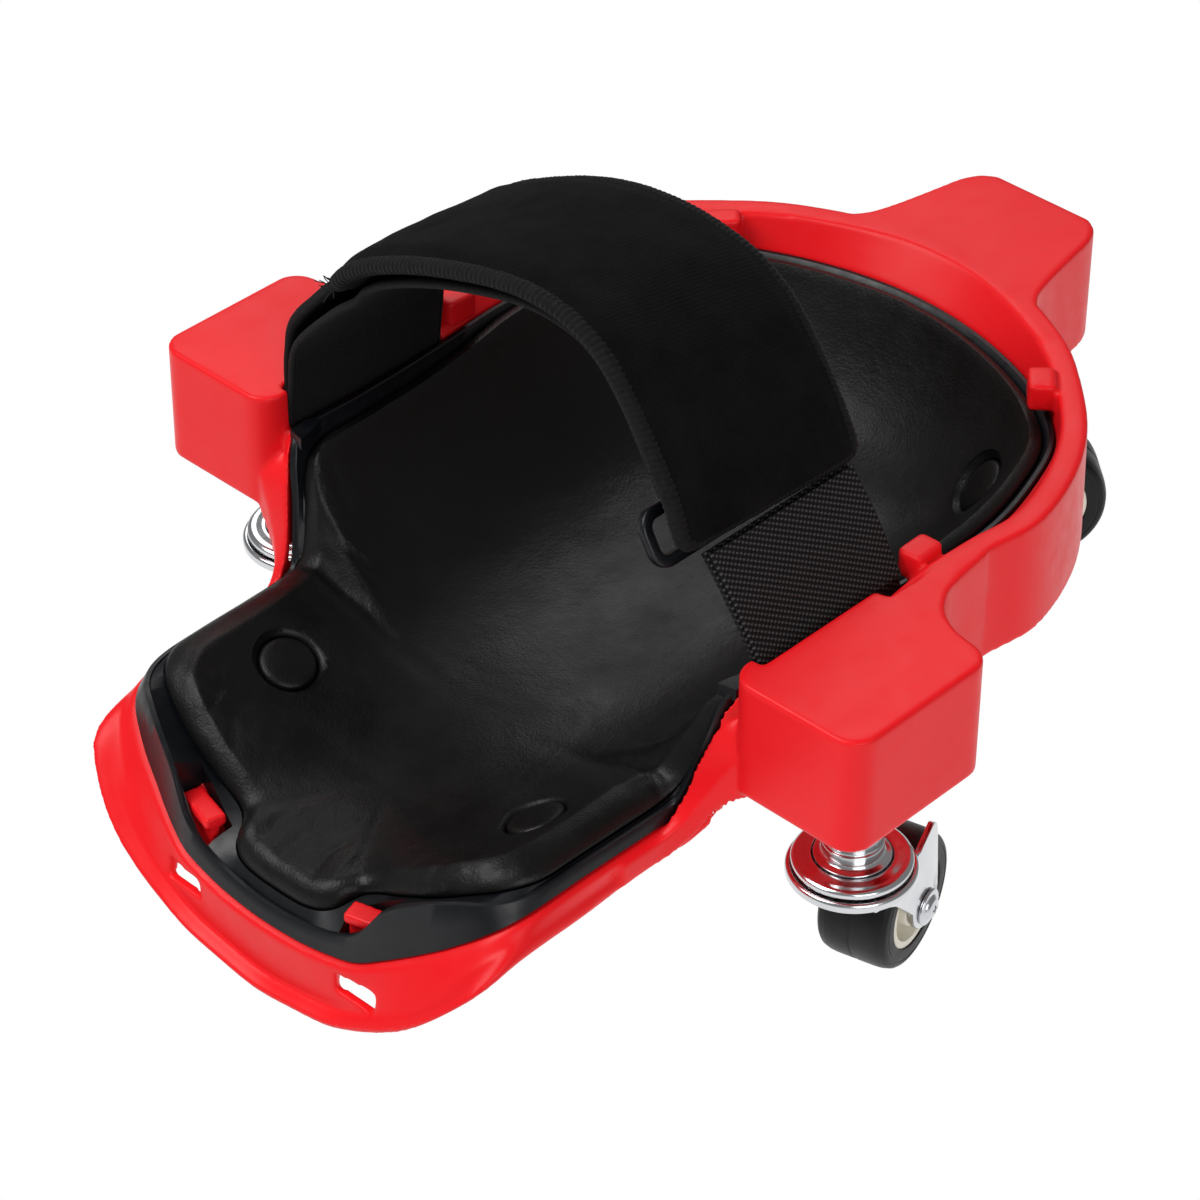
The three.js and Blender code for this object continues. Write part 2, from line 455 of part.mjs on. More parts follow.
// ------------------------------------------------------------------- castors
// Each castor is drawn about its swivel axis, with z = 0 at the race top and
// +X pointing from the swivel axis to the axle.
function castor(name, x, y, deg) {
  const fixed = new THREE.Group();
  fixed.position.set(x, y, RACE_Z);
  root.add(fixed);
  const top = -RACE_Z;                                       // underside of the box
  const rn = NECK_D / 2, rs = STEM_D / 2, rr = RACE_D / 2, rc = CROWN_D / 2;
  // one turned piece: riveted foot, spindle, flange, neck and grip stem
  part(`${name}_stem`, lathe([[0, -9.4], [8, -9], [8, -7.4], [5, -7.3], [5, -0.6], [10.8, -0.6], [10.8, 0.8], [rn, 1.6],
    [rn, top - 0.5], [rs, top - 0.5], [rs, top + 27], [0, top + 28]], 12), ZINC(), fixed);
  part(`${name}_stem_socket`, lathe([[rs + 0.3, top + 0.3], [SOCKET_D / 2, top + 0.3], [SOCKET_D / 2, top + 25], [rs + 0.3, top + 25]].concat([[rs + 0.3, top + 0.3]]), 12), BLACK_PLASTIC(), fixed);
  // pressed upper race
  part(`${name}_race_cup`, lathe([[11.2, -0.5], [11.2, 0.5], [rr - 1, 0.2], [rr, -0.8], [rr, -2.3],
    [rr - 1.4, -2.3], [rr - 1.8, -0.9], [11.2, -0.5]], 16), ZINC(), fixed);
  const swivel = new THREE.Group();
  swivel.position.set(x, y, RACE_Z);
  swivel.rotation.z = deg * Math.PI / 180;
  root.add(swivel);
  const ax = TRAIL, az = AXLE_Z - RACE_Z;
  // ball ring between the races
  part(`${name}_ball_ring`, lathe([[10.9, -3.1], [12, -1.5], [14, -2.3], [14, -4.2], [12, -4.75], [10.9, -3.1]], 14), ZINC(), swivel);
  // fork: crown with the lower race, two legs
  const yi = WHEEL_W / 2 + 0.8, yo = yi + 2;
  let fork = solid(lathe([[5.6, -5.2], [15.2, -5.2], [rc - 1.4, -2.9], [rc, -3.6], [rc, -5.4], [rc - 2, -6.9], [5.6, -6.9], [5.6, -5.2]], 16));
  for (const s of [1, -1]) {
    const leg = new THREE.Shape();
    leg.moveTo(-12, -6.5); leg.lineTo(-6, -9.5); leg.lineTo(1, -14); leg.lineTo(ax - 8, az + 2.5);
    leg.absarc(ax, az, 6.8, Math.PI * 1.02, Math.PI * 1.98, false);
    leg.lineTo(ax + 6.6, -22); leg.lineTo(ax + 5.6, -12); leg.lineTo(ax + 4.6, -3); leg.lineTo(ax + 1.8, 0.3);
    leg.lineTo(15.6, -4.4); leg.lineTo(13.2, -4.4); leg.lineTo(11.6, -5.4); leg.lineTo(-11.4, -5.4);
    const g = new THREE.ExtrudeGeometry(leg, { depth: yo - yi, bevelEnabled: false, curveSegments: 3 }).rotateX(Math.PI / 2);
    fork = fork.add(solid(g.translate(0, s > 0 ? yo : -yi, 0)));
  }
  const bore = new THREE.CylinderGeometry(2.8, 2.8, 60, 10).translate(ax, 0, az);
  fork = fork.subtract(solid(bore));
  part(`${name}_fork`, geom(fork), ZINC(), swivel);
  // axle bolt and its nut
  const bolt = lathe([[0, -yo - 2.6], [3.4, -yo - 2.4], [5.2, -yo - 1.3], [5.2, -yo - 0.3], [2.4, -yo - 0.3], [2.4, yo + 3.6], [0, yo + 3.6]], 12);
  part(`${name}_axle_bolt`, bolt.rotateX(-Math.PI / 2).translate(ax, 0, az), ZINC(), swivel);
  const nut = solid(new THREE.CylinderGeometry(4.6, 4.6, 2.8, 6)).subtract(solid(new THREE.CylinderGeometry(2.8, 2.8, 8, 10)));
  part(`${name}_axle_nut`, geom(nut).translate(ax, yo + 1.75, az), ZINC(), swivel);
  // wheel: spacer tube on the bolt, hub and tyre
  const tube = (ri, ro, h, seg) => lathe([[ri, -h], [ro, -h], [ro, h], [ri, h], [ri, -h]], seg).rotateX(Math.PI / 2);
  part(`${name}_axle_spacer`, tube(2.75, 4.0, yi - 0.3, 10).translate(ax, 0, az), ZINC(), swivel);
  const W2 = WHEEL_W / 2, h1 = W2 - 0.4, h2 = W2 - 6.5;
  const hubP = [[4.6, -h1], [6.8, -h1], [6.8, -h2], [11.4, -h2], [11.4, -h1], [13.2, -h1], [13.2, h1], [11.4, h1], [11.4, h2], [6.8, h2], [6.8, h1], [4.6, h1], [4.6, -h1]];
  part(`${name}_hub`, lathe(hubP, 12).rotateX(Math.PI / 2).translate(ax, 0, az), HUB(), swivel);
  const R1 = WHEEL_R;
  const tyreP = [[13.9, -W2], [17.6, -W2], [R1 - 0.9, -W2 + 1.4], [R1, -W2 + 4], [R1, W2 - 4], [R1 - 0.9, W2 - 1.4], [17.6, W2], [13.9, W2], [13.9, -W2]];
  part(`${name}_tyre`, lathe(tyreP, 20).rotateX(Math.PI / 2).translate(ax, 0, az), TYRE(), swivel);
}
castor('castor_right', CASTOR_X, -CASTOR_Y, SWIVEL_DEG.right);
castor('castor_left', CASTOR_X, CASTOR_Y, SWIVEL_DEG.left);
castor('castor_front', CASTOR3_X, 0, SWIVEL_DEG.front);

export default root;
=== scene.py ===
# Looks of the rolling knee creeper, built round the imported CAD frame.
import math

import bpy
import numpy as np
from mathutils import Matrix, Vector, noise


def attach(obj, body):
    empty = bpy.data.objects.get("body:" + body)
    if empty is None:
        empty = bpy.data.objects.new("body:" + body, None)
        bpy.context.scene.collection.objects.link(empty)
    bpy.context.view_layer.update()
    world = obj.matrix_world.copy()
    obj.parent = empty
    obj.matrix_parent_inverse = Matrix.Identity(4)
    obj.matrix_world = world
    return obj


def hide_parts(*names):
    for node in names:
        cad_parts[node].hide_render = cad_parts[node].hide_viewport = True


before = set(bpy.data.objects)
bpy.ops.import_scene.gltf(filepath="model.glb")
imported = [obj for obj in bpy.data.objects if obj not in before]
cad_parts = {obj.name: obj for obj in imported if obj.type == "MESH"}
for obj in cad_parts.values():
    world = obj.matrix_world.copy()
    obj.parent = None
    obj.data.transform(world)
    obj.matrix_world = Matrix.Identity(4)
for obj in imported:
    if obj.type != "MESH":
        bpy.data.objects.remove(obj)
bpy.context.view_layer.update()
PLAT = "platform"
DATUM = np.array([-76.7, 0.0, 79.8])          # castor-box datum in the row frame, mm

# ------------------------------------------------------------------- camera
cam_data = bpy.data.cameras.new("camera")
cam_data.sensor_width = 36.0
cam_data.lens = 130.31
cam_data.clip_start, cam_data.clip_end = 0.05, 60.0
cam = bpy.data.objects.new("camera", cam_data)
bpy.context.scene.collection.objects.link(cam)
AX = np.array([[0.690602563980839, -0.7232203431294335, 0.004520387907623824],
               [0.43608738343088027, 0.42138947109399594, 0.7951469723664492],
               [-0.576971310062727, -0.547159253723143, 0.6063999162513413]])
EYE = (np.array([-665.5826, -671.5571, 734.3395]) + DATUM) / 1000
m = Matrix.Identity(4)
for c in range(3):
    for r in range(3):
        m[r][c] = AX[c][r]
    m[c][3] = EYE[c]
cam.matrix_world = m
bpy.context.scene.camera = cam

# ---------------------------------------------------------------- materials
def nodes_of(name):
    mt = bpy.data.materials.new(name)
    mt.use_nodes = True
    nt = mt.node_tree
    return mt, nt, nt.nodes["Principled BSDF"], nt.nodes, nt.links


def add(nt, kind, **kw):
    n = nt.nodes.new(kind)
    for k, v in kw.items():
        if k.startswith("i_"):
            n.inputs[k[2:].replace("_", " ")].default_value = v
        else:
            setattr(n, k, v)
    return n


def coords(nt, which="Object", scale=(1, 1, 1)):
    tc = nt.nodes.new("ShaderNodeTexCoord")
    mp = nt.nodes.new("ShaderNodeMapping")
    mp.inputs["Scale"].default_value = scale
    nt.links.new(tc.outputs[which], mp.inputs["Vector"])
    return mp.outputs["Vector"]


def noise_tex(nt, vec, scale, detail=3.0, rough=0.55):
    n = add(nt, "ShaderNodeTexNoise")
    n.inputs["Scale"].default_value = scale
    n.inputs["Detail"].default_value = detail
    n.inputs["Roughness"].default_value = rough
    nt.links.new(vec, n.inputs["Vector"])
    return n.outputs["Fac"]


def ramp(nt, fac, stops):
    r = nt.nodes.new("ShaderNodeValToRGB")
    els = r.color_ramp.elements
    while len(els) < len(stops):
        els.new(0.5)
    for e, (p, col) in zip(els, stops):
        e.position = p
        e.color = (*col, 1) if len(col) == 3 else col
    nt.links.new(fac, r.inputs["Fac"])
    return r.outputs["Color"]


def remap(nt, fac, lo, hi, a=0.0, b=1.0):
    n = nt.nodes.new("ShaderNodeMapRange")
    n.inputs["From Min"].default_value = a
    n.inputs["From Max"].default_value = b
    n.inputs["To Min"].default_value = lo
    n.inputs["To Max"].default_value = hi
    nt.links.new(fac, n.inputs["Value"])
    return n.outputs["Result"]


def bump(nt, height, strength, distance, normal=None):
    b = nt.nodes.new("ShaderNodeBump")
    b.inputs["Strength"].default_value = strength
    b.inputs["Distance"].default_value = distance
    nt.links.new(height, b.inputs["Height"])
    if normal is not None:
        nt.links.new(normal, b.inputs["Normal"])
    return b.outputs["Normal"]


def math_node(nt, op, a, b=None):
    n = nt.nodes.new("ShaderNodeMath")
    n.operation = op
    for i, v in enumerate((a, b)):
        if v is None:
            continue
        if isinstance(v, (int, float)):
            n.inputs[i].default_value = v
        else:
            nt.links.new(v, n.inputs[i])
    return n.outputs[0]


def plastic_red():
    mt, nt, bs, ns, ln = nodes_of("red_moulded_plastic")
    v = coords(nt)
    col = ramp(nt, noise_tex(nt, v, 14, 4), [(0.3, (0.77, 0.006, 0.010)), (0.7, (0.83, 0.010, 0.015))])
    ln.new(col, bs.inputs["Base Color"])
    ln.new(remap(nt, noise_tex(nt, v, 160, 5, 0.6), 0.33, 0.45, 0.3, 0.7), bs.inputs["Roughness"])
    n1 = bump(nt, noise_tex(nt, v, 1700, 2), 0.12, 0.00012)
    ln.new(bump(nt, noise_tex(nt, v, 38, 2), 0.10, 0.0012, n1), bs.inputs["Normal"])
    bs.inputs["Specular IOR Level"].default_value = 0.20
    bs.inputs["Coat Weight"].default_value = 0.03
    bs.inputs["Coat Roughness"].default_value = 0.22
    bs.inputs["Subsurface Weight"].default_value = 0.0
    return mt


def plastic_black(name="black_moulded_plastic", base=(0.0028, 0.0033, 0.0046)):
    mt, nt, bs, ns, ln = nodes_of(name)
    v = coords(nt)
    col = ramp(nt, noise_tex(nt, v, 30, 4), [(0.3, base), (0.7, tuple(c * 1.5 for c in base))])
    ln.new(col, bs.inputs["Base Color"])
    ln.new(remap(nt, noise_tex(nt, v, 220, 5, 0.6), 0.30, 0.46, 0.3, 0.7), bs.inputs["Roughness"])
    n1 = bump(nt, noise_tex(nt, v, 2100, 2), 0.15, 0.0001)
    ln.new(bump(nt, noise_tex(nt, v, 60, 2), 0.15, 0.0008, n1), bs.inputs["Normal"])
    bs.inputs["Specular IOR Level"].default_value = 0.32
    return mt


def pad_skin():
    mt, nt, bs, ns, ln = nodes_of("grained_foam_skin")
    v = coords(nt)
    blot = noise_tex(nt, v, 22, 5, 0.6)
    col = ramp(nt, blot, [(0.3, (0.0022, 0.0020, 0.0020)), (0.7, (0.0040, 0.0037, 0.0036))])
    ln.new(col, bs.inputs["Base Color"])
    vo = add(nt, "ShaderNodeTexVoronoi", feature="DISTANCE_TO_EDGE")
    vo.inputs["Scale"].default_value = 700
    ln.new(v, vo.inputs["Vector"])
    grain = remap(nt, vo.outputs["Distance"], 0.0, 1.0, 0.0, 0.28)
    vo2 = add(nt, "ShaderNodeTexVoronoi", feature="F1")
    vo2.inputs["Scale"].default_value = 1500
    ln.new(v, vo2.inputs["Vector"])
    n1 = bump(nt, vo2.outputs["Distance"], 0.12, 0.0001)
    n2 = bump(nt, grain, 0.22, 0.00015, n1)
    n3 = bump(nt, noise_tex(nt, v, 240, 4, 0.6), 0.20, 0.0006, n2)
    ln.new(bump(nt, noise_tex(nt, v, 60, 3), 0.16, 0.0014, n3), bs.inputs["Normal"])
    ln.new(remap(nt, noise_tex(nt, v, 45, 5, 0.65), 0.34, 0.50, 0.3, 0.7), bs.inputs["Roughness"])
    bs.inputs["Specular IOR Level"].default_value = 0.25
    bs.inputs["Sheen Weight"].default_value = 0.005
    bs.inputs["Sheen Roughness"].default_value = 0.5
    return mt


def strap_cloth():
    mt, nt, bs, ns, ln = nodes_of("strap_knit")
    uv = coords(nt, "UV", (1, 1, 1))
    v = coords(nt)
    wv = add(nt, "ShaderNodeTexWave", wave_type="BANDS", bands_direction="X")
    wv.inputs["Scale"].default_value = 260
    wv.inputs["Distortion"].default_value = 1.5
    wv.inputs["Detail"].default_value = 2
    wv.inputs["Detail Scale"].default_value = 3
    ln.new(uv, wv.inputs["Vector"])
    wu = add(nt, "ShaderNodeTexWave", wave_type="BANDS", bands_direction="Y")
    wu.inputs["Scale"].default_value = 300
    wu.inputs["Distortion"].default_value = 2.0
    ln.new(uv, wu.inputs["Vector"])
    knit = math_node(nt, "MULTIPLY", wv.outputs["Fac"], wu.outputs["Fac"])
    fuzz = noise_tex(nt, v, 900, 5, 0.7)
    col = ramp(nt, noise_tex(nt, v, 60, 6, 0.7), [(0.3, (0.0022, 0.0022, 0.0025)), (0.75, (0.0060, 0.0060, 0.0066))])
    ln.new(col, bs.inputs["Base Color"])
    n1 = bump(nt, knit, 0.55, 0.0003)
    n2 = bump(nt, fuzz, 0.45, 0.0004, n1)
    ln.new(bump(nt, noise_tex(nt, v, 45, 3), 0.2, 0.002, n2), bs.inputs["Normal"])
    ln.new(remap(nt, fuzz, 0.86, 1.0), bs.inputs["Roughness"])
    bs.inputs["Specular IOR Level"].default_value = 0.05
    bs.inputs["Sheen Weight"].default_value = 0.012
    bs.inputs["Sheen Roughness"].default_value = 0.55
    return mt


def webbing(name, base, pitch=1.15, strength=0.9):
    """Coarse twill on UVs in metres."""
    mt, nt, bs, ns, ln = nodes_of(name)
    uv = coords(nt, "UV")
    v = coords(nt)
    sx = nt.nodes.new("ShaderNodeSeparateXYZ")
    ln.new(uv, sx.inputs[0])
    k = 2 * math.pi / (pitch / 1000)
    a = math_node(nt, "MULTIPLY", sx.outputs[0], k)
    b = math_node(nt, "MULTIPLY", sx.outputs[1], k * 0.62)
    s1 = math_node(nt, "SINE", math_node(nt, "ADD", a, b))
    s2 = math_node(nt, "SINE", math_node(nt, "SUBTRACT", math_node(nt, "MULTIPLY", a, 1.0), math_node(nt, "MULTIPLY", b, 1.7)))
    h = math_node(nt, "ADD", math_node(nt, "MULTIPLY", s1, 0.6), math_node(nt, "MULTIPLY", s2, 0.4))
    f = remap(nt, h, 0.0, 1.0, -1.0, 1.0)
    col = ramp(nt, f, [(0.25, tuple(c * 0.15 for c in base)), (0.6, tuple(c * 0.7 for c in base)), (0.88, tuple(c * 4.2 for c in base))])
    ln.new(col, bs.inputs["Base Color"])
    n1 = bump(nt, f, strength, 0.0005)
    ln.new(bump(nt, noise_tex(nt, v, 1200, 4, 0.7), 0.3, 0.0002, n1), bs.inputs["Normal"])
    ln.new(remap(nt, noise_tex(nt, v, 300, 4), 0.72, 0.95), bs.inputs["Roughness"])
    bs.inputs["Specular IOR Level"].default_value = 0.16
    bs.inputs["Sheen Weight"].default_value = 0.02
    return mt


def thread_mat(name="overlock_thread", base=(0.0035, 0.0035, 0.0038)):
    mt, nt, bs, ns, ln = nodes_of(name)
    v = coords(nt)
    col = ramp(nt, noise_tex(nt, v, 700, 4), [(0.3, tuple(c * 0.5 for c in base)), (0.8, tuple(c * 1.8 for c in base))])
    ln.new(col, bs.inputs["Base Color"])
    ln.new(bump(nt, noise_tex(nt, v, 1600, 4, 0.7), 0.6, 0.0003), bs.inputs["Normal"])
    ln.new(remap(nt, noise_tex(nt, v, 500, 3), 0.6, 0.85), bs.inputs["Roughness"])
    bs.inputs["Specular IOR Level"].default_value = 0.15
    bs.inputs["Sheen Weight"].default_value = 0.03
    return mt


def metal(name, base=(0.70, 0.71, 0.73), r0=0.10, r1=0.24):
    mt, nt, bs, ns, ln = nodes_of(name)
    v = coords(nt)
    col = ramp(nt, noise_tex(nt, v, 40, 4), [(0.3, tuple(c * 0.9 for c in base)), (0.7, base)])
    ln.new(col, bs.inputs["Base Color"])
    ln.new(remap(nt, noise_tex(nt, v, 260, 5, 0.65), r0, r1, 0.3, 0.7), bs.inputs["Roughness"])
    ln.new(bump(nt, noise_tex(nt, v, 500, 3), 0.05, 0.0002), bs.inputs["Normal"])
    bs.inputs["Metallic"].default_value = 1.0
    return mt


def hub_mat():
    mt, nt, bs, ns, ln = nodes_of("cream_hub_plastic")
    v = coords(nt)
    col = ramp(nt, noise_tex(nt, v, 60, 4), [(0.3, (0.70, 0.66, 0.55)), (0.7, (0.80, 0.76, 0.66))])
    ln.new(col, bs.inputs["Base Color"])
    ln.new(remap(nt, noise_tex(nt, v, 300, 4), 0.38, 0.55), bs.inputs["Roughness"])
    ln.new(bump(nt, noise_tex(nt, v, 500, 3), 0.08, 0.0003), bs.inputs["Normal"])
    return mt


def tyre_mat():
    mt, nt, bs, ns, ln = nodes_of("tyre_rubber")
    v = coords(nt)
    col = ramp(nt, noise_tex(nt, v, 120, 5), [(0.3, (0.0035, 0.0035, 0.0035)), (0.75, (0.008, 0.008, 0.008))])
    ln.new(col, bs.inputs["Base Color"])
    ln.new(remap(nt, noise_tex(nt, v, 260, 5), 0.34, 0.52), bs.inputs["Roughness"])
    ln.new(bump(nt, noise_tex(nt, v, 700, 4), 0.12, 0.0003), bs.inputs["Normal"])
    bs.inputs["Specular IOR Level"].default_value = 0.22
    return mt


RED = plastic_red()
BLACK = plastic_black()
SKIN = pad_skin()
CLOTH = strap_cloth()
WEB = webbing("elastic_twill", (0.014, 0.0133, 0.0138), 1.8, 1.0)
LINING = webbing("lining_weave", (0.0035, 0.0035, 0.0038), 0.9, 0.6)
HOOK = webbing("hook_tape", (0.0030, 0.0030, 0.0033), 0.8, 0.9)
THREAD = thread_mat()
FRAY = thread_mat("frayed_thread", (0.012, 0.012, 0.014))
ZINC = metal("zinc_plate")
BOLT = metal("bolt_plate", (0.66, 0.67, 0.70), 0.14, 0.30)
HUB = hub_mat()
TYRE = tyre_mat()

# ------------------------------------------------------------- mesh helpers
def mesh_obj(name, verts, faces, material, uvs=None, smooth=True, angle=None, raw=False):
    """verts in millimetres about the datum unless raw (already metres, row frame)."""
    v = np.asarray(verts, float)
    if not raw:
        v = (v + DATUM) / 1000
    me = bpy.data.meshes.new(name)
    me.from_pydata(v.tolist(), [], [list(f) for f in faces])
    if uvs is not None:
        layer = me.uv_layers.new(name="UVMap")
        u = np.asarray(uvs, float)
        idx = np.zeros(len(me.loops), np.int64)
        me.loops.foreach_get("vertex_index", idx)
        layer.data.foreach_set("uv", u[idx].astype(np.float32).ravel())
    me.validate()
    ob = bpy.data.objects.new(name, me)
    bpy.context.scene.collection.objects.link(ob)
    if material is not None:
        me.materials.append(material)
    if smooth:
        me.polygons.foreach_set("use_smooth", [True] * len(me.polygons))
        if angle is not None:
            mark_sharp(me, angle)
    return ob


def mark_sharp(me, angle):
    me.polygons.foreach_set("use_smooth", [True] * len(me.polygons))
    lim = math.radians(angle)
    import bmesh
    bm = bmesh.new()
    bm.from_mesh(me)
    for e in bm.edges:
        if len(e.link_faces) == 2:
            e.smooth = e.calc_face_angle(0.0) < lim
    bm.to_mesh(me)
    bm.free()


def grid_faces(nu, nv, close_u=False, close_v=False):
    f = []
    for i in range(nu if close_u else nu - 1):
        a = i * nv
        b = ((i + 1) % nu) * nv
        for k in range(nv if close_v else nv - 1):
            k2 = (k + 1) % nv
            f.append((a + k, a + k2, b + k2, b + k))
    return f


def bake(ob, mat_keep=True):
    """Replaces an object's mesh by its evaluated one and drops the modifiers."""
    dg = bpy.context.evaluated_depsgraph_get()
    dg.update()
    me = bpy.data.meshes.new_from_object(ob.evaluated_get(dg))
    old = ob.data
    mats = list(old.materials)
    ob.modifiers.clear()
    ob.data = me
    me.materials.clear()
    for x in mats:
        me.materials.append(x)
    bpy.data.meshes.remove(old)
    return ob


def boolean(ob, cutters, op, solver="MANIFOLD"):
    for c in cutters:
        md = ob.modifiers.new("b", "BOOLEAN")
        md.operation = op
        md.object = c
        md.solver = solver
        bake(ob)
        bpy.data.objects.remove(c)
    return ob


def weld(ob, dist=1e-6):
    import bmesh
    bm = bmesh.new()
    bm.from_mesh(ob.data)
    bmesh.ops.remove_doubles(bm, verts=bm.verts, dist=dist)
    bmesh.ops.dissolve_degenerate(bm, edges=bm.edges, dist=dist * 0.5)
    bmesh.ops.recalc_face_normals(bm, faces=bm.faces)
    bm.to_mesh(ob.data)
    bm.free()
    return ob


def voxel(ob, size, smooth_iter=3, factor=0.5):
    md = ob.modifiers.new("r", "REMESH")
    md.mode = "VOXEL"
    md.voxel_size = size
    md.use_smooth_shade = True
    if smooth_iter:
        sm = ob.modifiers.new("s", "SMOOTH")
        sm.iterations = smooth_iter
        sm.factor = factor
    bake(ob)
    ob.data.polygons.foreach_set("use_smooth", [True] * len(ob.data.polygons))
    return ob


def prism(outline, z0, z1, name="tmp", material=None):
    """A closed prism of a plan outline in millimetres about the datum."""
    n = len(outline)
    area = sum(outline[i][0] * outline[(i + 1) % n][1] - outline[(i + 1) % n][0] * outline[i][1] for i in range(n))
    if area < 0:
        outline = outline[::-1]
    v = [(x, y, z0) for x, y in outline] + [(x, y, z1) for x, y in outline]
    f = [tuple(range(n))[::-1], tuple(range(n, 2 * n))] + [(i, (i + 1) % n, n + (i + 1) % n, n + i) for i in range(n)]
    return mesh_obj(name, v, f, material, smooth=False)


def rounded_rect(x0, x1, y0, y1, r, seg=10):
    pts = []
    for cx, cy, a0 in ((x1 - r, y0 + r, -90), (x1 - r, y1 - r, 0), (x0 + r, y1 - r, 90), (x0 + r, y0 + r, 180)):
        for i in range(seg + 1):
            a = math.radians(a0 + 90 * i / seg)
            pts.append((cx + r * math.cos(a), cy + r * math.sin(a)))
    return pts


def block(size, rot, at, name="tmp"):
    """A box of size, turned rot about Z, centred at."""
    sx, sy, sz = (s / 2 for s in size)
    c, s = math.cos(rot), math.sin(rot)
    v = []
    for z in (-sz, sz):
        for x, y in ((-sx, -sy), (sx, -sy), (sx, sy), (-sx, sy)):
            v.append((at[0] + x * c - y * s, at[1] + x * s + y * c, at[2] + z))
    f = [(3, 2, 1, 0), (4, 5, 6, 7), (0, 1, 5, 4), (1, 2, 6, 5), (2, 3, 7, 6), (3, 0, 4, 7)]
    return mesh_obj(name, v, f, None, smooth=False)


def lathe_mesh(profile, seg, closed=True):
    """Verts and faces of a turned body about Z. Profile is (r, z), a closed loop."""
    P = list(profile)
    area = sum(P[i][0] * P[(i + 1) % len(P)][1] - P[(i + 1) % len(P)][0] * P[i][1] for i in range(len(P)))
    if area < 0:
        P = P[::-1]
    verts, rows = [], []
    for r, z in P:
        if r < 1e-6:
            rows.append([len(verts)] * seg)
            verts.append((0.0, 0.0, z))
        else:
            rows.append(list(range(len(verts), len(verts) + seg)))
            verts += [(r * math.cos(2 * math.pi * i / seg), r * math.sin(2 * math.pi * i / seg), z) for i in range(seg)]
    faces = []
    n = len(P)
    for k in range(n):
        a, b = rows[k], rows[(k + 1) % n]
        if a[0] == a[-1] and b[0] == b[-1]:
            continue
        for i in range(seg):
            j = (i + 1) % seg
            f = [a[i], a[j], b[j], b[i]]
            g = []
            for q in f:
                if q not in g:
                    g.append(q)
            if len(g) > 2:
                faces.append(tuple(g))
    return np.array(verts, float), faces


def fillet(profile, r=0.3, n=3, skip=()):
    """Rounds the corners of a closed (r, z) loop."""
    out = []
    P = [np.array(p, float) for p in profile]
    N = len(P)
    for i in range(N):
        a, b, c = P[i - 1], P[i], P[(i + 1) % N]
        rad = r[i] if isinstance(r, (list, tuple)) else r
        if b[0] < 1e-6 or rad <= 0 or i in skip:
            out.append(tuple(b))
            continue
        u, w = a - b, c - b
        lu, lw = np.linalg.norm(u), np.linalg.norm(w)
        d = min(rad, lu * 0.45, lw * 0.45)
        if d < 1e-4:
            out.append(tuple(b))
            continue
        p0, p1 = b + u / lu * d, b + w / lw * d
        for k in range(n + 1):
            t = k / n
            q = (1 - t) ** 2 * p0 + 2 * t * (1 - t) * b + t * t * p1
            out.append((max(q[0], 0.0), q[1]))
    return out


def cr(points, sub, closed=False, t=0.5):
    """Catmull-Rom through rows of an (n, ...) array."""
    P = np.asarray(points, float)
    n = len(P)
    out = []
    segs = n if closed else n - 1
    for i in range(segs):
        if closed:
            p0, p1, p2, p3 = P[i - 1], P[i], P[(i + 1) % n], P[(i + 2) % n]
        else:
            p1, p2 = P[i], P[i + 1]
            p0 = P[i - 1] if i > 0 else 2 * p1 - p2
            p3 = P[i + 2] if i + 2 < n else 2 * p2 - p1
        for k in range(sub):
            u = k / sub
            out.append(0.5 * ((2 * p1) + (-p0 + p2) * u + (2 * p0 - 5 * p1 + 4 * p2 - p3) * u * u + (-p0 + 3 * p1 - 3 * p2 + p3) * u ** 3))
    if not closed:
        out.append(P[-1])
    return np.array(out)


def fbm(p, scale, octaves=3, seed=0.0):
    q = Vector((p[0] * scale + seed, p[1] * scale - seed, p[2] * scale + 0.5 * seed))
    s, a = 0.0, 1.0
    for _ in range(octaves):
        s += a * noise.noise(q)
        q = q * 2.03
        a *= 0.5
    return s


# ---------------------------------------------------------- station tables
E = np.array([[-84, 0, -38], [-83.6, 12, -37.4], [-80.5, 19, -36], [-73, 24.5, -32], [-71.5, 37, -26], [-70.2, 47.5, -21],
  [-67.5, 58, -15.5], [-62.5, 66.5, -12], [-54, 71, -11], [-40, 71.5, -11], [-24, 71.8, -11], [-10, 72.3, -10.5],
  [-3.5, 73.5, -7], [1, 76.5, 4], [4.5, 79.5, 14], [11, 81.5, 19.5], [30, 82.3, 20], [50, 83, 20.5], [70, 83.8, 22],
  [88, 85.2, 24], [108, 84.5, 25], [128, 80, 25], [147, 72.5, 25], [159.5, 59.5, 25], [168, 43.5, 25],
  [173.5, 27, 25], [176.3, 12, 25], [177, 0, 25]], float)
T = np.array([[-88.2, 0, -41], [-87.8, 14, -40], [-87, 25, -37.5], [-85.8, 34, -32.5], [-83, 42, -21.5], [-79.2, 51, -16.5],
  [-74.5, 60, -13.8], [-68.5, 68.5, -12.8], [-59, 73, -12.3], [-42, 73.9, -12], [-24, 74.2, -12], [-10, 74.7, -11.5],
  [-5.5, 76, -8], [-1.5, 79, 7], [1.5, 82.3, 20], [8, 85, 26], [30, 85.6, 26], [50, 86.2, 26], [70, 87, 26.5],
  [88.5, 88.5, 26.5], [109, 87.8, 26.5], [129.5, 83, 26.5], [149.3, 75, 26.5], [162.3, 61.7, 26.5], [171.2, 45, 26.5],
  [176.9, 28, 26.5], [179.8, 12.5, 26.5], [180.5, 0, 26.5]], float)
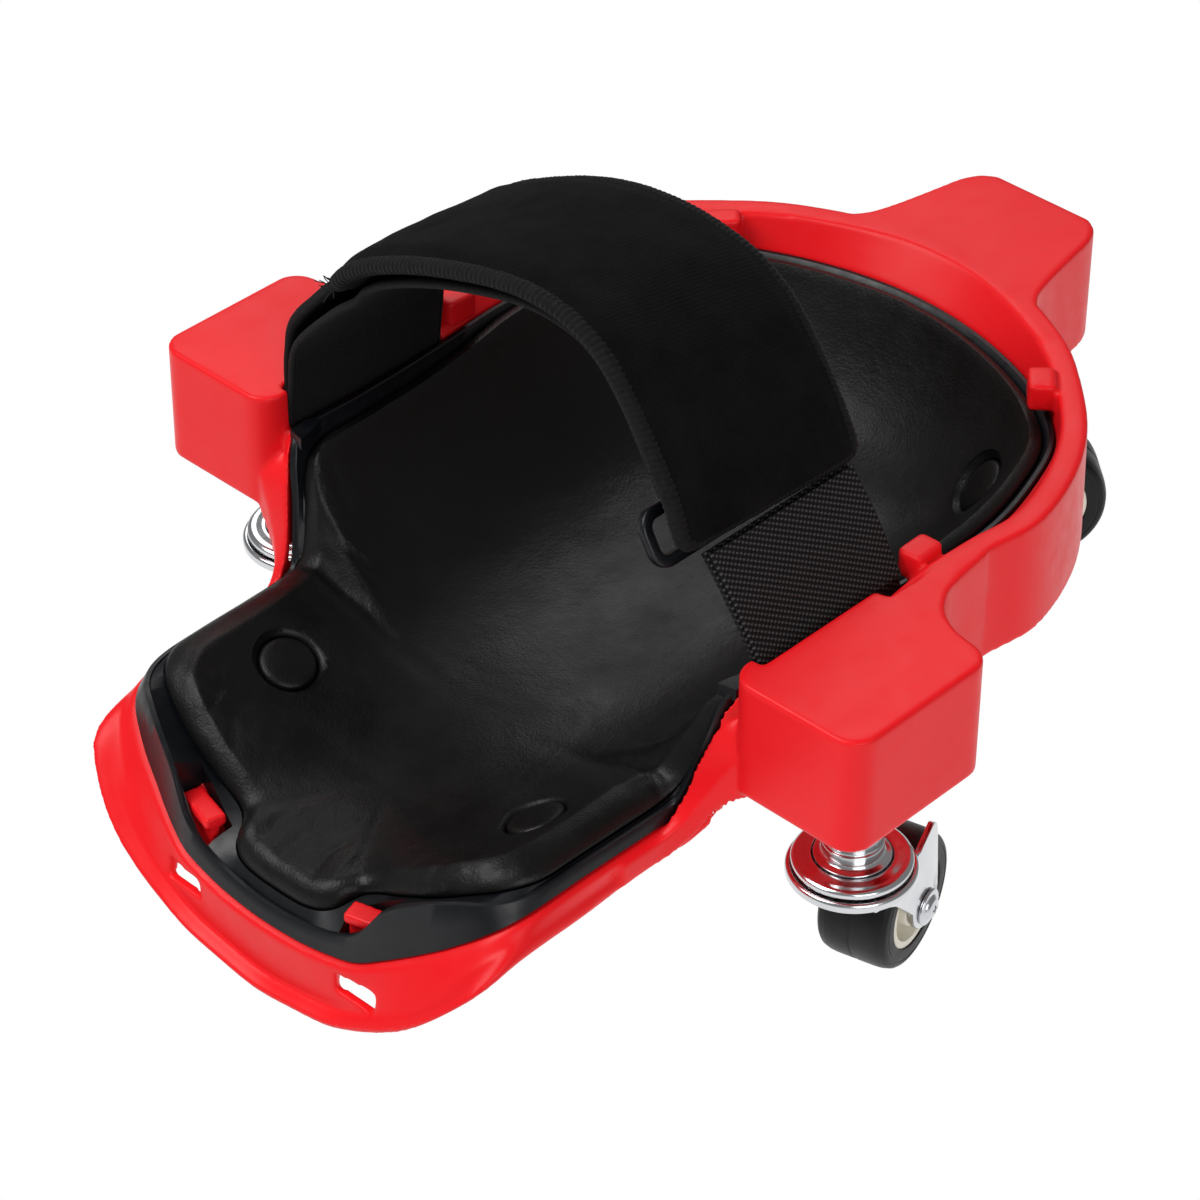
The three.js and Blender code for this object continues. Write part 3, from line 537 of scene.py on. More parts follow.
S = np.array([[-89.4, 0, -46.5], [-89, 14, -46], [-88.2, 25, -44.5], [-87, 34, -42.5], [-84.4, 42.6, -38], [-80.8, 51.4, -33],
  [-77, 60.5, -27], [-71, 69.8, -20], [-61, 74, -16.8], [-42, 74.7, -16], [-24, 75, -16], [-10, 75.4, -16],
  [-5, 76.6, -15.5], [-1, 79, -9], [2, 81.8, 0], [8.4, 84, 5], [30, 84.6, 6], [50, 85.2, 6.5], [70, 86, 8],
  [88, 87.5, 10], [108.6, 86.9, 11], [128.9, 82.1, 11], [148.6, 74.2, 11], [161.5, 61.1, 11], [170.3, 44.6, 11],
  [176, 27.8, 11], [178.9, 12.4, 11], [179.6, 0, 11]], float)
F = np.array([[-94, 0, -67], [-94, 16, -65], [-93.8, 27.5, -63], [-93.6, 36.5, -59.5], [-93.3, 46, -54.5], [-92, 57, -47.5],
  [-88.6, 67.3, -38.5], [-81.5, 76.2, -29], [-67, 78, -25], [-42, 77.6, -25], [-24, 76.6, -25], [-10, 76.6, -25],
  [-4, 77.2, -25], [2, 80, -20], [8, 88, -6], [14, 96, 0], [30, 100, 0], [50, 104.2, 0], [68, 103.6, 0],
  [87, 102.6, 0], [107.6, 104.4, 0], [131, 97.6, 0], [151, 86, 0], [167.6, 70.5, 0], [180.6, 54.4, 0],
  [190.6, 34.3, 0], [196.4, 16, 0], [198, 0, 0]], float)
BOX_H = 37.0
R = {14: [6, 90, 22], 15: [12, 95, 25], 16: [30, 99.5, 30], 17: [50, 103.7, 35], 18: [68, 103, BOX_H], 19: [86.5, 102, BOX_H],
  20: [107, 103.8, BOX_H], 21: [130.4, 97, BOX_H], 22: [150.2, 85.5, BOX_H], 23: [166.8, 70, BOX_H], 24: [180, 54, BOX_H],
  25: [190, 34, BOX_H], 26: [195.9, 16, BOX_H], 27: [197.5, 0, BOX_H]}
N = {14: [4, 86.5, 21], 15: [9, 88.5, 24.6], 16: [30, 91, 26.5], 17: [50, 93, 31], 18: [68, 94.5, 36.3], 19: [87, 94.6, 36.4],
  20: [106.3, 96.2, 36.4], 21: [127.5, 90, 36.4], 22: [145.8, 79.5, 36.4], 23: [161.4, 65, 36.4], 24: [173.4, 50, 36.4],
  25: [182.6, 31.5, 36.4], 26: [188, 14.8, 36.4], 27: [189.4, 0, 36.4]}
NS = len(E)
PAD_T, GAP, CARRIER_T, WALL = 10.0, 0.4, 2.4, 3.0
CREST = np.array([e[2] + (7 if i < 3 else 4 if i < 12 else 2.2) for i, e in enumerate(E)])
CREST_R = np.array([0.86 if i < 12 else 0.92 if i < 14 else 0.95 for i in range(NS)])
POWER = np.array([2.4 if i < 3 else 1.9 if i < 12 else 2.8 if i < 14 else 3.3 if i < 19 else 3.6 for i in range(NS)])
EDGE_H = np.array([2.6 if i < 12 else 5 if i < 14 else 9 for i in range(NS)], float)
RIN = 0.955
MX0, MX1 = -42.0, 108.0
SPK = np.polyfit([-42, -20, 10, 45, 80, 108], [-28, -25.5, -22.5, -20, -17, -15], 2)


def spine_x(x):
    return np.clip(x, MX0, MX1)


def spine_z(x):
    return np.polyval(SPK, spine_x(x))


def outward(i):
    if i == 0:
        return np.array([-1.0, 0.0])
    if i == NS - 1:
        return np.array([1.0, 0.0])
    d = T[i + 1][:2] - T[i - 1][:2]
    d = d / np.linalg.norm(d)
    return np.array([-d[1], d[0]])


def off(p, i, d, dz=0.0):
    n = outward(i)
    return np.array([p[0] + n[0] * d, p[1] + n[1] * d, p[2] + dz])


def ring54(a):
    """Half table (28 rows) to the whole closed ring (54 rows), mirrored in y."""
    a = np.asarray(a, float)
    back = a[1:-1][::-1].copy()
    if a.ndim >= 2:
        back[..., 1] = -back[..., 1]
    return np.concatenate([a, back])


def ring54s(a):
    a = np.asarray(a, float)
    return np.concatenate([a, a[1:-1][::-1]])


def dense(table, sub):
    return cr(ring54(table), sub, closed=True)


def dense_s(table, sub):
    return cr(ring54s(table), sub, closed=True)


def pad_top(crest, crest_r, power, zc, r):
    return zc + (crest - zc) * np.power(np.minimum(1.0, r / crest_r), power)


def rows_ring(rows, sub, straight=(13,)):
    """rows: 28 profiles (28, K, 3) -> smooth closed ring of profiles; segments in `straight` stay linear."""
    A = np.asarray(rows, float)
    groups, start = [], 0
    for s_ in list(straight) + [NS - 1]:
        groups.append((start, s_))
        start = s_ + 1
    half = []
    for gi, (a, b) in enumerate(groups):
        P = A[a:b + 1]
        first, last = gi == 0, gi == len(groups) - 1
        mir = lambda q: q * np.array([1, -1, 1])
        pre = mir(P[1]) if first else 2 * P[0] - P[1]
        post = mir(P[-2]) if last else 2 * P[-1] - P[-2]
        Q = np.concatenate([[pre], P, [post]])
        for i in range(1, len(Q) - 2):
            p0, p1, p2, p3 = Q[i - 1], Q[i], Q[i + 1], Q[i + 2]
            for k in range(sub):
                u = k / sub
                half.append(0.5 * ((2 * p1) + (-p0 + p2) * u + (2 * p0 - 5 * p1 + 4 * p2 - p3) * u * u + (-p0 + 3 * p1 - 3 * p2 + p3) * u ** 3))
        if not last:
            nxt = A[groups[gi + 1][0]]
            for k in range(sub):
                u = k / sub
                half.append(P[-1] * (1 - u) + nxt * u)
    half.append(A[-1])
    half = np.array(half)
    back = half[1:-1][::-1] * np.array([1, -1, 1])
    return np.concatenate([half, back])


def loft_obj(name, ring, material, angle=None, close=False):
    """ring: (n, K, 3). The profile runs from the spine over the top, round the edge and back underneath."""
    n, K, _ = ring.shape
    f = grid_faces(n, K, close_u=True)
    ob = mesh_obj(name, ring.reshape(-1, 3), f, material, smooth=True)
    weld(ob, 2e-6)
    if angle is not None:
        mark_sharp(ob.data, angle)
    return ob


def along(i, r, z):
    mx = spine_x(E[i][0])
    return np.array([mx + (E[i][0] - mx) * r, E[i][1] * r, z])


def ptop(i, r):
    return float(pad_top(CREST[i], CREST_R[i], POWER[i], spine_z(E[i][0]), r))


EDGE_Z = E[:, 2] - EDGE_H
RS = [0, 0.15, 0.3, 0.42, 0.54, 0.64, 0.72, 0.79, 0.85, 0.9]

def fix_normals(ob):
    import bmesh
    bm = bmesh.new()
    bm.from_mesh(ob.data)
    bmesh.ops.recalc_face_normals(bm, faces=bm.faces)
    bm.to_mesh(ob.data)
    bm.free()
    return ob


FLARE = [((-30, 77.6), (-30, 74.6), -18, -25.4), ((-18, 77.9), (-18, 75.0), -17.6, -25), ((-12.5, 78.9), (-12.5, 75.5), -15.8, -24),
         ((-8, 80.9), (-9, 76.3), -12, -21), ((-5, 84), (-5.6, 77.7), -5, -15.5), ((-3.3, 88), (-3, 79.3), 4, -9),
         ((-1.5, 93), (-0.5, 81.5), 12, -3.5), ((2, 97), (2.6, 84.1), 17, -0.8), ((8, 98), (8.4, 85.9), 19, 0.2)]


def flare(side):
    """Concave web where the skirt sweeps out to the tail face of a side box."""
    tab = np.array([[*o, *i, zt, zb] for o, i, zt, zb in FLARE], float)
    tab = cr(tab, 6)
    v = []
    for ox, oy, ix, iy, zt, zb in tab:
        v += [(ox, side * oy, zb), (ox, side * oy, zt), (ix, side * iy, zt), (ix, side * iy, zb)]
    n = len(tab)
    f = grid_faces(n, 4, close_v=True) + [(3, 2, 1, 0), tuple(range(4 * (n - 1), 4 * n))]
    return fix_normals(mesh_obj("tmp", v, f, None))


def lug(ang, at):
    """Hook lug: rounded block standing on the cup rim."""
    o = rounded_rect(-5.5, 5.5, -4, 4, 1.6, 6)
    c, s_ = math.cos(ang), math.sin(ang)
    return prism([(at[0] + x * c - y * s_, at[1] + x * s_ + y * c) for x, y in o], 29.7, 38.3)


# ------------------------------------------------------------------ platform
def build_tray():
    rows = []
    drop = PAD_T + 2 * GAP + CARRIER_T
    for i in range(NS):
        zr = EDGE_Z[i] - 2 * GAP - CARRIER_T
        zt = lambda r: ptop(i, r) - drop if r < 0.8 else (ptop(i, 0.8) - drop) + (zr - (ptop(i, 0.8) - drop)) * (r - 0.8) / (RIN - 0.8)
        head = [along(i, r, zt(r)) for r in RS] + [along(i, RIN, zr)]
        tail = [along(i, RIN, zr - WALL)] + [along(i, r, zt(r) - WALL) for r in RS[::-1]]
        if i < 14:
            lip, up = (4.4, 2.0) if i < 8 else (1.6, 3.0)
            Q = off(F[i], i, -lip, up)
            Q1 = off(F[i], i, -lip * 0.45, up * 0.62)
            s0 = off(S[i], i, 1.6, -1.4)
            mid = (s0 + Q) / 2 + np.array([0, 0, -1.2 if i < 8 else -0.2])
            rows.append(head + [off(S[i], i, 0.1, -0.5), off(S[i], i, 1.2 if i == 13 else 0.5, -0.55), s0, mid, Q, Q1, F[i],
                                off(F[i], i, -0.9, -2.0), off(F[i], i, -(lip + 2.2), -2.2), off(S[i], i, -1.6 if i < 8 or i > 12 else -3.0, -6), off(S[i], i, -4.2 if i < 8 or i > 12 else -5.6, -4.4)] + tail)
        else:
            inner = off(T[i], i, 1.1 if i == 14 else 0.6, -0.6)
            top, rim, foot = np.array(N[i], float), np.array(R[i], float), F[i]
            h2 = head + [off(S[i], i, 0.1, -1) if i == 14 else off(S[i], i, 0.6, -0.4), inner, (inner + top) / 2, top, (top + rim) / 2 + np.array([0, 0, 0.25]), rim, foot]
            if i < 19:
                fz = foot[2] - S[i][2]
                rows.append(h2 + [off(S[i], i, 4, fz), off(S[i], i, 3.8, fz - 0.5), off(S[i], i, 3.6, fz - 0.9), off(S[i], i, 3.2, fz - 1.2)] + tail)
            else:
                mid = (top + rim) / 2
                rows.append(h2 + [off(foot, i, -WALL), np.array([mid[0], mid[1], top[2] - WALL - 0.6]), off(inner, i, 2.8, -3.6), off(S[i], i, 3.4, -3.4)] + tail)
    ring = rows_ring(rows, 6)
    tray = loft_obj("platform_tray_moulded", ring, RED)
    adds = []
    for s in (1, -1):
        fl = lambda pts: [(x, s * y) for x, y in pts]
        b = prism(fl(rounded_rect(-2.5, 52.5, 88, 133, 8, 12)), 0, BOX_H)
        pocket = prism(fl(rounded_rect(0.5, 49.5, 104.5, 130, 5, 6)), -5, BOX_H - WALL)
        boss = prism([(28.3 + 12 * math.cos(a), s * 108 + 12 * math.sin(a)) for a in np.linspace(0, 2 * math.pi, 49)[:-1]], -6, BOX_H - 1)
        rib = prism([(26.8, s * 80), (29.8, s * 80), (29.8, s * 140), (26.8, s * 140)], -6.5, BOX_H)
        boolean(pocket, [boss, rib], "DIFFERENCE")
        boolean(b, [pocket], "DIFFERENCE")
        adds.append(b)
        web = np.array([[49.5, 96], [49.5, 126.5], [52.5, 124.5], [54, 118], [57.3, 112], [62, 108], [69, 105], [86, 102.6]])
        w2 = [(49.5, 96), (49.5, 126.5)] + [tuple(p) for p in cr(web[2:], 6)] + [(86, 97), (68, 97)]
        adds.append(prism(fl(w2), 0, BOX_H))
    half = [tuple(p) for p in cr(np.array([[176, 52], [181, 44.5], [186, 39], [193, 33], [203, 29.8], [217, 27], [227, 25], [232.8, 22], [236, 17.5]]), 5)]
    front = prism(half + [(x, -y) for x, y in half[::-1]], 0, BOX_H)
    fp = [(202, 24.2), (217, 21.6), (229, 18)]
    pocket = prism(fp + [(x, -y) for x, y in fp[::-1]], -5, BOX_H - WALL)
    boss = prism([(211 + 12 * math.cos(a), 12 * math.sin(a)) for a in np.linspace(0, 2 * math.pi, 49)[:-1]], -6, BOX_H - 1)
    rib = prism([(209.5, -40), (212.5, -40), (212.5, 40), (209.5, 40)], -6.5, BOX_H)
    boolean(pocket, [boss, rib], "DIFFERENCE")
    boolean(front, [pocket], "DIFFERENCE")
    inner = cr(np.array([N[i][:2] for i in range(21, 28)] + [[N[i][0], -N[i][1]] for i in range(26, 20, -1)], float), 6)
    boolean(front, [prism([(120, 80)] + [(x + 0.6, y) for x, y in inner] + [(120, -80)], -60, 60)], "DIFFERENCE")
    adds.append(front)
    for s in (1, -1):
        adds.append(flare(s))
        adds.append(block((3, 14, 11.5), s * -0.26, (-79.4, s * 33.3, -39)))
        adds.append(block((6.6, 15, 3.4), s * -0.26, (-79.4, s * 33.3, -32.2)))
        for x, y, a in ((159.5, 61.5, 0.86), (74, 88.8, 1.53)):
            adds.append(lug(s * (a - math.pi / 2), (x, s * y)))
    boolean(tray, adds, "UNION")
    cuts = []
    for s in (1, -1):
        y0, y1 = sorted((s * 86.4, s * 91.9))
        cuts.append(prism(rounded_rect(7.4, 67.6, y0, y1, 1.0, 3), 6.8, 45))
        cuts.append(block((22, 13.5, 6.4), s * -0.32, (-88, 31.8 if s > 0 else -35.2, -51.0)))
    for x, y in ((28.3, 108), (28.3, -108), (211, 0)):
        cuts.append(prism([(x + 6.6 * math.cos(a), y + 6.6 * math.sin(a)) for a in np.linspace(0, 2 * math.pi, 33)[:-1]], -8, 31.5))
    boolean(tray, cuts, "DIFFERENCE")
    voxel(tray, 0.00064, 12, 0.5)
    return tray


tray = build_tray()
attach(tray, PLAT)
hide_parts("platform_tray")
print("tray", len(tray.data.polygons))

# ------------------------------------------------------------------- carrier
def build_carrier():
    rows = []
    drop = PAD_T + GAP
    for i in range(NS):
        zr = EDGE_Z[i] - GAP
        zt = lambda r: ptop(i, r) - drop if r < 0.8 else (ptop(i, 0.8) - drop) + (zr - (ptop(i, 0.8) - drop)) * (r - 0.8) / (RIN - 0.8)
        head = [along(i, r, zt(r)) for r in RS] + [along(i, RIN, zr)]
        tail = [along(i, RIN, zr - CARRIER_T)] + [along(i, r, zt(r) - CARRIER_T) for r in RS[::-1]]
        lip_in = off(T[i], i, -1.9, -0.7 if i < 3 else -0.35)
        rows.append(head + [off(E[i], i, 0.5, -GAP if i < 12 else 0), lip_in, off(T[i], i, -1.55, 0), off(T[i], i, -0.4, 0.0), off(T[i], i, -0.02, -0.45),
                            T[i] * 0.5 + S[i] * 0.5 + np.array([0, 0, 0]), S[i] + np.array([0, 0, 0.5]), off(S[i], i, -0.6, 0)] + tail)
    ring = rows_ring(rows, 6, straight=())
    ob = loft_obj("pad_carrier_shell", ring, BLACK)
    cuts = [block((8.4, 17.4, 30), s * -0.26, (-79.4, s * 33.3, -32)) for s in (1, -1)]
    boolean(ob, cuts, "DIFFERENCE")
    for s in (1, -1):
        pts = [(3.4, s * 79.6), (4.6, s * 85.3), (12, s * 85.9), (14, s * 82.6), (8, s * 80.6)]
        boolean(ob, [prism(pts if s > 0 else pts[::-1], 22.5, 26.4)], "UNION")
    mark_sharp(ob.data, 32)
    return ob


carrier = build_carrier()
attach(carrier, PLAT)
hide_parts("pad_carrier")

# ------------------------------------------------------------------ knee pad
BUTTONS = {"tail_left": (-33, 48), "tail_right": (-33, -48), "cup_left": (143, 54), "cup_right": (143, -54)}
PSUB = 8
dE = dense(E, PSUB)
dC, dCR, dPW, dEH = dense_s(CREST, PSUB), dense_s(CREST_R, PSUB), dense_s(POWER, PSUB), dense_s(EDGE_H, PSUB)


def ring_smooth(a, n):
    for _ in range(n):
        a = (np.roll(a, 1) + 2 * a + np.roll(a, -1)) / 4
    return a


dCR, dPW = ring_smooth(dCR, 60), ring_smooth(dPW, 160)


def surface_height(x, y):
    """Height of the undisplaced pad top over (x, y)."""
    best = (1e9, 0.0)
    mx = spine_x(dE[:, 0])
    for r in np.linspace(0.3, 0.98, 120):
        px, py = mx + (dE[:, 0] - mx) * r, dE[:, 1] * r
        d = np.hypot(px - x, py - y)
        k = int(np.argmin(d))
        if d[k] < best[0]:
            best = (d[k], float(pad_top(dC[k], dCR[k], dPW[k], spine_z(dE[k, 0]), r)))
    return best[1]


def wrinkle(x, y, z, nz):
    """Small moulding creases in the skin, mm, downwards positive."""
    d = 0.0
    p = (x, y, z)
    ay = abs(y)
    # shoulders where the trough turns up into the wings
    g = math.exp(-(((x - 0) / 16) ** 2 + ((ay - 66) / 15) ** 2))
    if g > 0.02:
        u = (x - 0) * 0.8 + (ay - 66) * 0.25
        d += 0.75 * g * max(0.0, math.sin(u * 0.85 + 2.4 * fbm(p, 0.05, 2, 3.1)) - 0.15) + 0.3 * g * fbm(p, 0.22, 3, 7.7)
    # tail corners
    g = math.exp(-(((x + 64) / 15) ** 2 + ((ay - 50) / 20) ** 2))
    if g > 0.02:
        u = (x + 64) * 0.45 - (ay - 50) * 0.8
        d += 0.45 * g * max(0.0, math.sin(u * 0.7 + 2.0 * fbm(p, 0.06, 2, 1.3)) - 0.2) + 0.25 * g * fbm(p, 0.2, 3, 4.2)
    # nose
    g = math.exp(-(((x + 74) / 9) ** 2 + (ay / 26) ** 2))
    if g > 0.02:
        d += 0.5 * g * max(0.0, math.sin(y * 0.62 + 1.8 * fbm(p, 0.08, 2, 9.0)) - 0.1)
    d += 0.35 * fbm(p, 0.03, 2, 2.0) + 0.10 * fbm(p, 0.12, 2, 5.0)
    return d


def build_pad():
    n = len(dE)
    top_r = np.concatenate([np.linspace(0, 0.5, 22, endpoint=False), np.linspace(0.5, 0.86, 24, endpoint=False)])
    mx = spine_x(dE[:, 0])
    zc = spine_z(dE[:, 0])
    cols = []
    for r in top_r:
        cols.append(np.stack([mx + (dE[:, 0] - mx) * r, dE[:, 1] * r, pad_top(dC, dCR, dPW, zc, r)], 1))
    # from 0.86 to the edge: rounded shoulder that falls to the pad edge
    for t in np.linspace(0, 1, 16):
        r = 0.86 + (1 - 0.86) * math.sin(t * math.pi / 2) ** 1.0
        base = pad_top(dC, dCR, dPW, zc, r)
        fall = np.where(r > dCR, 1 - np.sqrt(np.maximum(0.0, 1 - ((r - dCR) / (1 - dCR)) ** 2)), 0.0)
        cols.append(np.stack([mx + (dE[:, 0] - mx) * r, dE[:, 1] * r, base + (dE[:, 2] - dC) * fall], 1))
    ez = dE[:, 2] - dEH
    cols.append(np.stack([mx + (dE[:, 0] - mx) * 0.992, dE[:, 1] * 0.992, dE[:, 2] * 0.7 + ez * 0.3], 1))
    cols.append(np.stack([mx + (dE[:, 0] - mx) * RIN, dE[:, 1] * RIN, ez], 1))
    for r in (0.85, 0.7, 0.5, 0.3, 0.0):
        cols.append(np.stack([mx + (dE[:, 0] - mx) * r, dE[:, 1] * r, pad_top(dC, dCR, dPW, zc, r) - PAD_T], 1))
    A = np.stack(cols, 1)                      # (n, K, 3)
    ntop = len(top_r) + 16
    for k in range(ntop):
        fade = 1.0 if k < ntop - 4 else (ntop - 1 - k) / 4
        for i in range(n):
            x, y, z = A[i, k]
            A[i, k, 2] -= fade * (wrinkle(x, y, z, 1.0) + pucker(x, y))
    ob = loft_obj("knee_pad_foam", A, SKIN)
    return ob


def pucker(x, y):
    d = 0.0
    for bx, by in BUTTONS.values():
        q = math.hypot(x - bx, y - by)
        if q < 26:
            d += 0.9 * math.exp(-((max(0.0, q - 8.0) / 7.0) ** 2))
    return d


def unit_at(x, y):
    e = 2.5
    n = Vector((surface_height(x - e, y) - surface_height(x + e, y), surface_height(x, y - e) - surface_height(x, y + e), 2 * e)).normalized()
    return n


pad = build_pad()
button_objs = []
for bname, (bx, by) in BUTTONS.items():
    z = surface_height(bx, by) - 0.9 - 0.35 * fbm((bx, by, 0), 0.03, 2, 2.0)
    nrm = unit_at(bx, by)
    q = Vector((0, 0, 1)).rotation_difference(nrm).to_matrix()
    deep = -4.2 if bx > 0 else -7.6

    def placed(profile, seg, name, material, angle=None):
        v, f = lathe_mesh(profile, seg)
        v = v @ np.array(q).T + np.array([bx, by, z])
        return mesh_obj(name, v, f, material, angle=angle)

    cutter = placed([(0, -3.3), (8.95, -3.3), (9.0, -1.6), (9.5, -0.7), (10.6, 0.3), (13.0, 7), (0, 7)], 64, "cut", None)
    boolean(pad, [cutter], "DIFFERENCE")
    prof = [(0, deep), (5.0, deep), (5.0, -3.2), (7.9, -3.2), (8.35, -2.6), (8.35, -1.5), (8.1, -0.75), (7.5, -0.3), (6.4, -0.05), (4.4, 0.12), (2.2, 0.2), (0, 0.22)]
    b = placed(prof, 64, f"pad_button_{bname}_plug", SKIN, 40)
    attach(b, PLAT)
    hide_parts(f"pad_button_{bname}")
    button_objs.append(b)
mark_sharp(pad.data, 50)
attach(pad, PLAT)
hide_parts("knee_pad")
print("pad", len(pad.data.polygons))

# ----------------------------------------------------------------- leg strap
X0, X1, STRAP_T = 3.6, 70.2, 7.4
WX0, WX1 = 9.0, 66.0
PAD_NEAR = np.array([[-67.7, 63.9], [-62.9, 75.9], [-55.6, 88.1], [-48.4, 99.3], [-38.5, 110.4], [-27, 116.6], [-12.7, 118.6], [1.9, 117], [20.4, 111.9], [36, 106.2], [51.3, 98.9], [60.8, 92.2], [66, 86]])
PAD_FAR = np.array([[-69.5, 63], [-64, 73.4], [-57.5, 84], [-51, 93], [-42.8, 101.5], [-31, 108.3], [-13, 111.9], [2.7, 111.8], [17.5, 109.3], [33, 104], [50.6, 95.6], [60, 90], [66, 84.6]])


def normals2(line):
    """Unit normals of a (y, z) line, pointing to its inner side."""
    d = np.gradient(line, axis=0)
    d /= np.linalg.norm(d, axis=1)[:, None]
    return np.stack([d[:, 1], -d[:, 0]], 1)


def lengths(line):
    return np.concatenate([[0], np.cumsum(np.linalg.norm(np.diff(line, axis=0), axis=1))])


def under(line, t):
    out = []
    for i, p in enumerate(line):
        a, b = line[max(0, i - 1)], line[min(len(line) - 1, i + 1)]
        d = (b - a) / np.linalg.norm(b - a)
        out.append([p[0] + d[1] * t, p[1] - d[0] * t])
    return np.array(out)


def band(name, near, far, x0, x1, t, material, cols=26, sub=10, pinch=0.0, pinch_w=3.5, ripple=0.0, edge_r=0.5, seed=0.0, crown=0.0, uv_scale=1.0, inner_ripple=None):
    """A flat band whose outer face runs between two (y, z) lines. Returns the object and its rows of mid-edge points."""
    nl, fl = cr(near, sub), cr(far, sub)
    nn, fn = normals2(nl), normals2(fl)
    sl = lengths((nl + fl) / 2)
    W = x1 - x0
    vs = np.concatenate([[0, 0.004, 0.012], np.linspace(0.03, 0.97, cols), [0.988, 0.996, 1.0]])
    verts, uvs, near_mid, far_mid = [], [], [], []
    for i in range(len(nl)):
        for side in (0, 1):
            for v in (vs if side == 0 else vs[::-1]):
                p = nl[i] * (1 - v) + fl[i] * v
                n = nn[i] * (1 - v) + fn[i] * v
                n /= np.linalg.norm(n)
                x = x0 + W * v
                e = min(v, 1 - v) * W
                dep = pinch * math.exp(-(e / pinch_w) ** 2) + (edge_r * max(0.0, 1 - e / edge_r) ** 2 if e < edge_r else 0.0) - crown * (4 * v * (1 - v))
                rp = ripple if side == 0 or inner_ripple is None else inner_ripple
                dep += rp * fbm((x, sl[i], 40.0 * side), 0.045, 3, seed)
                d = dep if side == 0 else t - dep
                q = p + n * d
                verts.append((x, q[0], q[1]))
                uvs.append((sl[i] / 1000 * uv_scale, x / 1000 * uv_scale))
        near_mid.append((x0, *(nl[i] + nn[i] * t / 2)))
        far_mid.append((x1, *(fl[i] + fn[i] * t / 2)))
    nv = 2 * len(vs)
    nu = len(nl)
    faces = grid_faces(nu, nv, close_v=True)
    m_ = len(vs)
    for k in range(m_ - 1):
        faces.append((k + 1, k, nv - 1 - k, nv - 2 - k))
        o = (nu - 1) * nv
        faces.append((o + k, o + k + 1, o + nv - 2 - k, o + nv - 1 - k))
    ob = mesh_obj(name, verts, faces, material, uvs=uvs)
    import bmesh
    bm = bmesh.new()
    bm.from_mesh(ob.data)
    bmesh.ops.recalc_face_normals(bm, faces=bm.faces)
    bm.to_mesh(ob.data)
    bm.free()
    mark_sharp(ob.data, 48)
    return ob, np.array(near_mid), np.array(far_mid)


def resample(path, step):
    path = np.asarray(path, float)
    s = lengths(path)
    n = max(3, int(s[-1] / step) + 1)
    t = np.linspace(0, s[-1], n)
    return np.stack([np.interp(t, s, path[:, k]) for k in range(path.shape[1])], 1)


def smooth_path(path, it=3, closed=False):
    p = np.array(path, float)
    for _ in range(it):
        q = p.copy()
        if closed:
            q = (np.roll(p, 1, 0) + 2 * p + np.roll(p, -1, 0)) / 4
        else:
            q[1:-1] = (p[:-2] + 2 * p[1:-1] + p[2:]) / 4
        p = q
    return p


def tube_mesh(path, radius_fn, seg=14, closed=False, squash_dir=None):
    """Verts and faces of a tube along a path; radius_fn(s, phi) in mm."""
    P = np.asarray(path, float)
    n = len(P)
    d = np.roll(P, -1, 0) - np.roll(P, 1, 0) if closed else np.gradient(P, axis=0)
    d /= np.linalg.norm(d, axis=1)[:, None]
    s = lengths(P)
    u = np.cross(d[0], [0.3, 0.9, 0.1]); u /= np.linalg.norm(u)
    verts = []
    us = []
    for i in range(n):
        u = u - d[i] * np.dot(u, d[i]); u /= np.linalg.norm(u)
        us.append(u.copy())
    if closed:                                # take out the twist between the ends
        u0, uN = us[0], us[-1]
        w0 = np.cross(d[0], u0)
        tw = math.atan2(np.dot(uN, w0), np.dot(uN, u0))
    else:
        tw = 0.0
    for i in range(n):
        a0 = -tw * i / n
        u = us[i]; w = np.cross(d[i], u)
        for k in range(seg):
            ph = 2 * math.pi * k / seg
            r = radius_fn(s[i], ph)
            verts.append(P[i] + r * (math.cos(ph + a0) * u + math.sin(ph + a0) * w))
    faces = grid_faces(n, seg, close_u=closed, close_v=True)
    if not closed:
        faces.append(tuple(range(seg))[::-1])
        faces.append(tuple(range((n - 1) * seg, n * seg)))
    return np.array(verts), faces


OUT = 1.5                                    # the cloth stands this far outside the solid
strap, near_mid, far_mid = band("strap_pad_cover", under(PAD_NEAR, -OUT), under(PAD_FAR, -OUT), X0 + 1.2, X1 - 1.2, STRAP_T, CLOTH, cols=34, sub=12,
                                pinch=1.7, pinch_w=4.2, ripple=0.55, seed=2.0, crown=0.35, inner_ripple=0.5)
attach(strap, PLAT)
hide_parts("strap_pad")

# overlocked edge: one closed run of thread round the whole band
loop = np.concatenate([near_mid, [near_mid[-1] * (1 - t) + far_mid[-1] * t for t in np.linspace(0.04, 0.96, 12)],
                       far_mid[::-1], [far_mid[0] * (1 - t) + near_mid[0] * t for t in np.linspace(0.04, 0.96, 12)]])
loop = resample(np.vstack([loop, loop[:1]]), 1.5)[:-1]
loop = smooth_path(loop, 4, closed=True)
loop = resample(np.vstack([loop, loop[:1]]), 0.3)[:-1]
PITCH = 1.75


def overlock_r(s, ph):
    a = math.sin(math.pi * s / PITCH + ph * 0.5)
    return 2.15 + 0.42 * abs(a) ** 0.7 + 0.12 * noise.noise(Vector((s * 0.4, math.cos(ph), math.sin(ph))))


ov, of_ = tube_mesh(loop, overlock_r, seg=16, closed=True)
overlock = fix_normals(mesh_obj("strap_overlock_edge", ov, of_, THREAD))
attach(overlock, PLAT)

